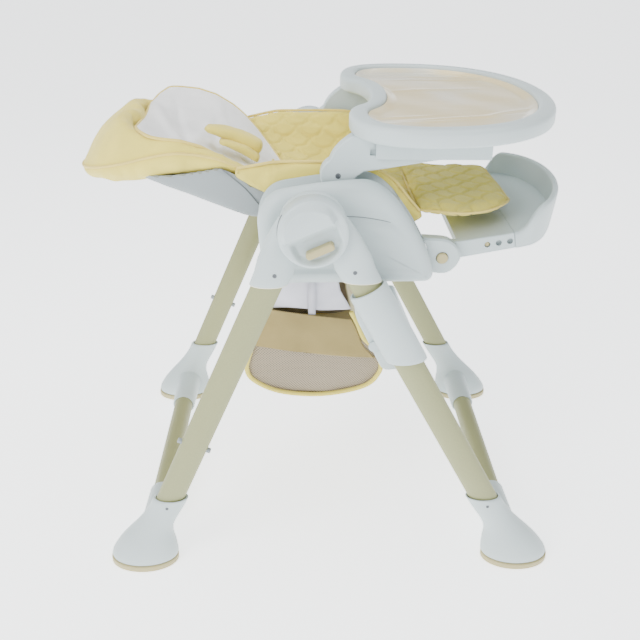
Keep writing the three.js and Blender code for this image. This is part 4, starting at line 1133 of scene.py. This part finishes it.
def hoodRings():
    # rows run round the rim; columns go up its outer face, over the padded ridge, and in to the middle:
    # on the ridge a point is in * part inwards of the rim, and up * sin(part * 90 degrees) above it
    plan = hoodPlan()
    t = np.linspace(0, 1, len(plan))
    rim, low, up, reach = (eased(np.interp(t, hood["at"], hood[k]), 8) for k in ("rim", "low", "up", "in"))
    plan = np.vstack([plan, (plan * (1, -1))[::-1][1:]])
    rim, low, up, reach, t = (np.concatenate([v, v[::-1][1:]]) for v in (rim, low, up, reach, t))
    ahead = np.gradient(plan, axis=0)
    inward = np.stack([ahead[:, 1], -ahead[:, 0]], -1)
    inward /= np.linalg.norm(inward, axis=1, keepdims=True)
    inward *= np.sign(((np.array([-210, 0]) - plan) * inward).sum(1))[:, None]
    head = smoothStep((t - 0.45) / 0.4)
    spine = np.column_stack([np.clip(plan[:, 0], -262, -100), 0 * t])
    floorZ = np.interp(spine[:, 0], [-262, -200, -100], [664, 660, 632])
    columns = []
    for part in (0.0, 0.25, 0.5, 0.75, 0.92, 1.0):
        drawn = 9 * (1 - part) ** 1.8 - 2.5 * math.sin(math.pi * part)
        columns.append((plan + inward * drawn, low + (rim - low) * part))
    for part in np.linspace(0.07, 1, 15):
        columns.append((plan + inward * (reach * part)[:, None], rim + up * math.sin(part * math.pi / 2)))
    ridge = plan + inward * reach[:, None]
    for part in np.linspace(0.04, 1, 24):
        away = ridge + (spine - ridge) * part * 0.97
        fall = smoothStep((part - 0.3 * head) / (0.3 + 0.4 * head))
        columns.append((away, rim + up + (floorZ - rim - up) * fall))
    for part in np.linspace(1, 0.05, 12):
        away = spine + (plan + inward * 12 - spine) * (1 - part)
        columns.append((away, np.minimum(low - 2, floorZ - 6)))
    rings = [np.column_stack([xy, z]) for xy, z in columns]
    return np.array(rings).transpose(1, 0, 2)


def hoodDetail(p, n):
    under = smoothStep((0.2 - n[:, 2]) / 0.5)
    creases = 2.6 * np.abs(ripple(p * (1, 1, 0.4), 46, 11)) * under
    creases = creases + 1.2 * ripple(p, 90, 12) + 0.5 * ripple(p, 30, 13)
    return p + n * creases[:, None]


hoodPiece = reshape(clothPuff(loft("hood", hoodRings(), yellowCloth, 180), 0.006, 0.004), hoodDetail)
finish(hoodPiece, "backrest", "yellow_fabric", "backrest_pad")
plan = hoodPlan()
t = np.linspace(0, 1, len(plan))
path = np.column_stack([plan, eased(np.interp(t, hood["at"], hood["rim"]), 8)])
path = np.vstack([path, (path * (1, -1, 1))[::-1][1:]])
piece = tube("hoodPiping", path, 2.2, yellowPiping, 10)
finish(piece, "backrest", "yellow_fabric")
print("hood made")

# liner and shoulder pads
linerAt = {
    "x": [-277, -268, -252, -230, -200, -170, -140, -116, -94, -72, -56, -42],
    "half": [74, 106, 125, 131, 131, 129, 125, 118, 106, 86, 58, 26],
    "edge": [712, 718, 721, 719, 716, 707, 690, 672, 655, 637, 624, 612],
    "sag": [4, 12, 22, 32, 36, 34, 28, 22, 17, 12, 8, 4],
    "tilt": 13,
    # folds across the sheet: where, how far each slants, half width, height
    "folds": [
        (-238, 0.5, 12, 5.0), (-214, 0.25, 8, -3.4), (-182, -0.2, 10, 4.0), (-160, 0.1, 7, -3.0),
        (-128, 0.3, 8, 3.0),
    ],
}


def linerPoint(x, v):
    # x along the backrest, v from -1 to 1 across it: the sheet sags between its edges, the far one higher
    half, edge, sag = (np.interp(x, linerAt["x"], linerAt[k]) for k in ("half", "edge", "sag"))
    y = half * v
    tilt = linerAt["tilt"] * v * smoothStep((-60 - x) / 70) * smoothStep((x + 290) / 50)
    p = np.stack([x, y, edge - sag * (1 - np.abs(v) ** 2.2) + tilt], -1)
    flat = 1 - v**2
    for at, slant, wide, high in linerAt["folds"]:
        p[..., 2] += high * np.exp(-(((x - at + slant * y) / wide) ** 2)) * flat
    p[..., 2] += 1.8 * ripple(p, 80, 21) * flat
    return p


rows, cols = 110, 76
x = -159.5 + 117.5 * np.cos(np.linspace(math.pi, 0, rows))
v = np.sin(np.linspace(-math.pi / 2, math.pi / 2, cols))
gridX, gridV = np.meshgrid(x, v, indexing="ij")
sheet = linerPoint(gridX, gridV)
linerPiece = makeMesh("bodyLiner", sheet, gridFaces(rows, cols, False), whiteKnit, 180)
thick = linerPiece.modifiers.new("thickness", "SOLIDIFY")
thick.thickness = 0.003
thick.offset = 0
finish(linerPiece, "backrest", "white_fabric", "body_liner")
border = np.vstack([sheet[:, 0], sheet[-1, 1:-1], sheet[::-1, -1], sheet[0, 1:-1][::-1]])
piece = tube("linerPiping", evenly(border, 280), 2.5, yellowPiping, 10, closed=True)
finish(piece, "backrest", "yellow_fabric")


shoulderPads = {
    "left": {"start": (-174, -40, 702), "end": (-80, -40, 666), "wide": 38, "thin": 12, "thick": 27},
    "right": {"start": (-150, -54, 684), "end": (-84, -54, 653), "wide": 36, "thin": 9, "thick": 16},
}


def padBar(name, start, end, wide, thin, thick, seed):
    # a stuffed bar: a rounded rectangle carried from a thin head end to a thick lower end, round at both
    a, b = np.array(start, float), np.array(end, float)
    t = np.linspace(0, 1, 40)
    ahead = (b - a) / np.linalg.norm(b - a)
    over = np.cross((0, 1, 0), ahead)
    over = over * np.sign(over[2])
    shape = 1 - np.abs(2 * t - 1) ** 9
    turn = np.linspace(0, 2 * math.pi, 40, endpoint=False)
    cosine, sine = np.cos(turn), np.sin(turn)
    across = np.sign(cosine) * np.abs(cosine) ** 0.6
    high = np.sign(sine) * np.abs(sine) ** 0.75
    grow = 0.12 + 0.88 * shape**0.4
    middle = a + (b - a) * t[:, None]
    middle = middle + over * (6 * np.sin(math.pi * t))[:, None]
    rings = middle[:, None] + (wide / 2 * grow)[:, None, None] * across[None, :, None] * np.array([0, 1, 0])
    rings = rings + ((thin + (thick - thin) * t) / 2 * grow)[:, None, None] * high[None, :, None] * over
    piece = clothPuff(loft(name, rings, yellowCloth, 180), 0.005, 0.005)
    return reshape(piece, lambda p, n: p + n * (0.9 * ripple(p, 30, seed))[:, None])


for sideName, seed, fill in (("left", 31, 0.7), ("right", 32, 0.6)):
    pad = padBar(f"shoulderPad_{sideName}", **shoulderPads[sideName], seed=seed)
    finish(pad, "backrest", "yellow_fabric", f"shoulder_pad_{sideName}")
print("liner and shoulder pads made")

# calf pad
calfPad = {
    "loop": [
        (167, -146, 14), (255, -147, 40), (322, -118, 34), (326, 0, 60), (322, 118, 34), (255, 147, 40),
        (167, 146, 14),
    ],
    "middle": (240, 0),
    "low": 586, "thick": 12, "quilt": 25, "raised": 3.2, "sunk": 2.0,
}


def padSag(x, y):
    # the pad dips in its middle, and its front corners curl up
    dip = -5 * np.exp(-(((x - 245) / 50) ** 2))
    return dip + 7 * smoothStep((x - 285) / 45) * smoothStep((np.abs(y) - 60) / 80) - 0.03 * y


loop = roundPoly(calfPad["loop"], 200)
middle = np.array(calfPad["middle"], float)
shrink = np.linspace(1, 0.02, 40)
field = middle + shrink[:, None, None] * (loop - middle)
full = calfPad["thick"] / 2 * np.sqrt(np.clip(1 - shrink**8, 0, 1))
z0 = calfPad["low"] + calfPad["thick"] / 2 + 3 + padSag(field[:, :, 0], field[:, :, 1])
topSide = np.dstack([field, z0 + full[:, None]])
lowSide = np.dstack([field, z0 - full[:, None]])
rings = np.concatenate([topSide[::-1], lowSide])


def calfDetail(p, n):
    quilt = scallops(p[:, 1], p[:, 0], calfPad["quilt"])
    rim = smoothStep(np.abs(n[:, 2]) / 0.6)
    quilt = rim * (quilt * calfPad["raised"] - calfPad["sunk"])
    return p + n * (quilt + 0.7 * ripple(p, 50, 41))[:, None]


piece = reshape(clothPuff(loft("calfPad", rings, yellowCloth, 180), 0.005, 0.003), calfDetail)
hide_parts("calf_pad")
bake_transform(piece)
edge = np.column_stack([loop, calfPad["low"] + 9 + padSag(loop[:, 0], loop[:, 1])])
piping = tube("calfPiping", edge, 1.8, yellowPiping, 8, closed=True)
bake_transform(piping)
print("calf pad made")

# harness
finish(refined("buckle", "harness_buckle", greyPlastic, 2.0), "seat", "grey_plastic", "harness_buckle")
finish(refined("crotchStrap", "crotch_strap", webbing, 0.4), "seat", "webbing", "crotch_strap")

# storage basket
basket = {
    # the side outline, from the back top edge down round the bottom to the front top edge
    "side": [
        (-84, 437), (-84, 406), (-93, 380), (-103, 348), (-110, 318), (-99, 294), (-58, 272), (0, 264.5),
        (52, 269.5), (97, 284), (117, 308), (119, 329), (106, 357), (88, 377), (77, 404), (66, 425),
    ],
    "middle": (0, 360),
    "half": 157,
    "net": (268, 374, 6),    # low edge, high edge, bulge
    "band": (352, 424, 8),
}
line = curveThrough(basket["side"], 110)
middle = np.array(basket["middle"], float)
# the two sides are sheets in the side planes; the bag joins them round the outline
cols = 60
yLine = np.linspace(-basket["half"], basket["half"], cols)
bow = 1 - 0.06 * (1 - (yLine / basket["half"]) ** 2)
bodyGrid = np.zeros((len(line), cols, 3))
bodyGrid[:, :, 0] = middle[0] + (line[:, :1] - middle[0]) * bow
bodyGrid[:, :, 2] = middle[1] + (line[:, 1:] - middle[1]) * (1 - 0.5 * (1 - bow))
bodyGrid[:, :, 1] = yLine
bodyGrid[:, :, 2] += 2.5 * ripple(bodyGrid, 80, 51)


def sheetPiece(name, grid, material, slot, thickness):
    # an open sheet given its thickness, and attached to the seat
    piece = makeMesh(name, grid, gridFaces(*grid.shape[:2], False), material, 180)
    solid = piece.modifiers.new("thickness", "SOLIDIFY")
    solid.thickness = thickness / 1000
    solid.offset = 0
    finish(piece, "seat", slot)
    return piece


bag = sheetPiece("basketBag", bodyGrid, bagCloth, "yellow_fabric", 1.6)
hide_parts("storage_basket")


def sideSheet(side, low, high, bulge):
    # rows from the band line down to the bottom seam, columns from the back edge to the front edge
    z = np.linspace(high, low, 40)
    lowest = len(line) // 2 + 4
    back, front = line[:lowest], line[lowest:]
    backOrder, frontOrder = np.argsort(back[:, 1]), np.argsort(front[:, 1])
    grid = np.zeros((40, 60, 3))
    u = np.linspace(0, 1, 60)
    x0 = np.interp(z, back[backOrder, 1], back[backOrder, 0])
    x1 = np.interp(z, front[frontOrder, 1], front[frontOrder, 0])
    grid[:, :, 0] = x0[:, None] + u * (x1 - x0)[:, None]
    grid[:, :, 2] = z[:, None]
    swell = np.sin(math.pi * u)[None, :] * np.sin(math.pi * np.clip((z - 262) / 190, 0, 1))[:, None]
    grid[:, :, 1] = side * (basket["half"] - 6 + bulge * swell + 1.2 * ripple(grid, 60, 52))
    return grid


for sideName, side in sides.items():
    netGrid = sideSheet(side, *basket["net"])
    sheetPiece(f"basketNet_{sideName}", netGrid, netMaterial, "yellow_fabric", 1.2)
    bandGrid = sideSheet(side, *basket["band"])
    slope = (bandGrid[:, :, 0] + 85) / 160
    bandGrid[:, :, 2] += 8 - 22 * slope * smoothStep((bandGrid[:, :, 2] - 345) / 10)
    bandGrid[:, :, 1] += side * 3.0
    sheetPiece(f"basketBand_{sideName}", bandGrid, bandCloth, "yellow_fabric", 1.6)
    path = np.column_stack([line[:, 0], np.full(len(line), side * (basket["half"] - 2)), line[:, 1]])
    finish(tube(f"basketPiping_{sideName}", path, 4.0, yellowCloth, 12), "seat", "yellow_fabric")
    grid = np.zeros((24, 30, 3))
    z = np.linspace(497, 428, 24)
    u = np.linspace(0, 1, 30)
    left = np.interp(z, [428, 497], [-70, -64])
    right = np.interp(z, [428, 460, 497], [66, 48, 40])
    grid[:, :, 0] = left[:, None] + u * (right - left)[:, None]
    grid[:, :, 2] = z[:, None] + 3 * np.sin(2 * math.pi * u)
    grid[:, :, 1] = side * (basket["half"] - 8 + 2.5 * ripple(grid, 50, 53))
    sheetPiece(f"basketHanger_{sideName}", grid, paleCloth, "yellow_fabric", 1.2)
    strap = np.zeros((20, 2, 3))
    z = np.linspace(492, 420, 20)
    strap[:, 0, 0], strap[:, 1, 0] = -5, 7
    strap[:, :, 2] = z[:, None]
    strap[:, :, 1] = side * (basket["half"] - 3 + 1.5 * np.sin(z / 9))[:, None]
    sheetPiece(f"basketStrap_{sideName}", strap, webbing, "webbing", 1.4)
print("basket made")

# what stays from the frame
kept = {
    "recline_pin_left": steelMaterial, "recline_pin_right": steelMaterial,
    "arm_pin_left": steelMaterial, "arm_pin_right": steelMaterial,
    "seat_pan": greyPlastic,
}
for name, material in kept.items():
    for item in nodes[name].material_slots:
        item.material = material
print("frame nodes painted")
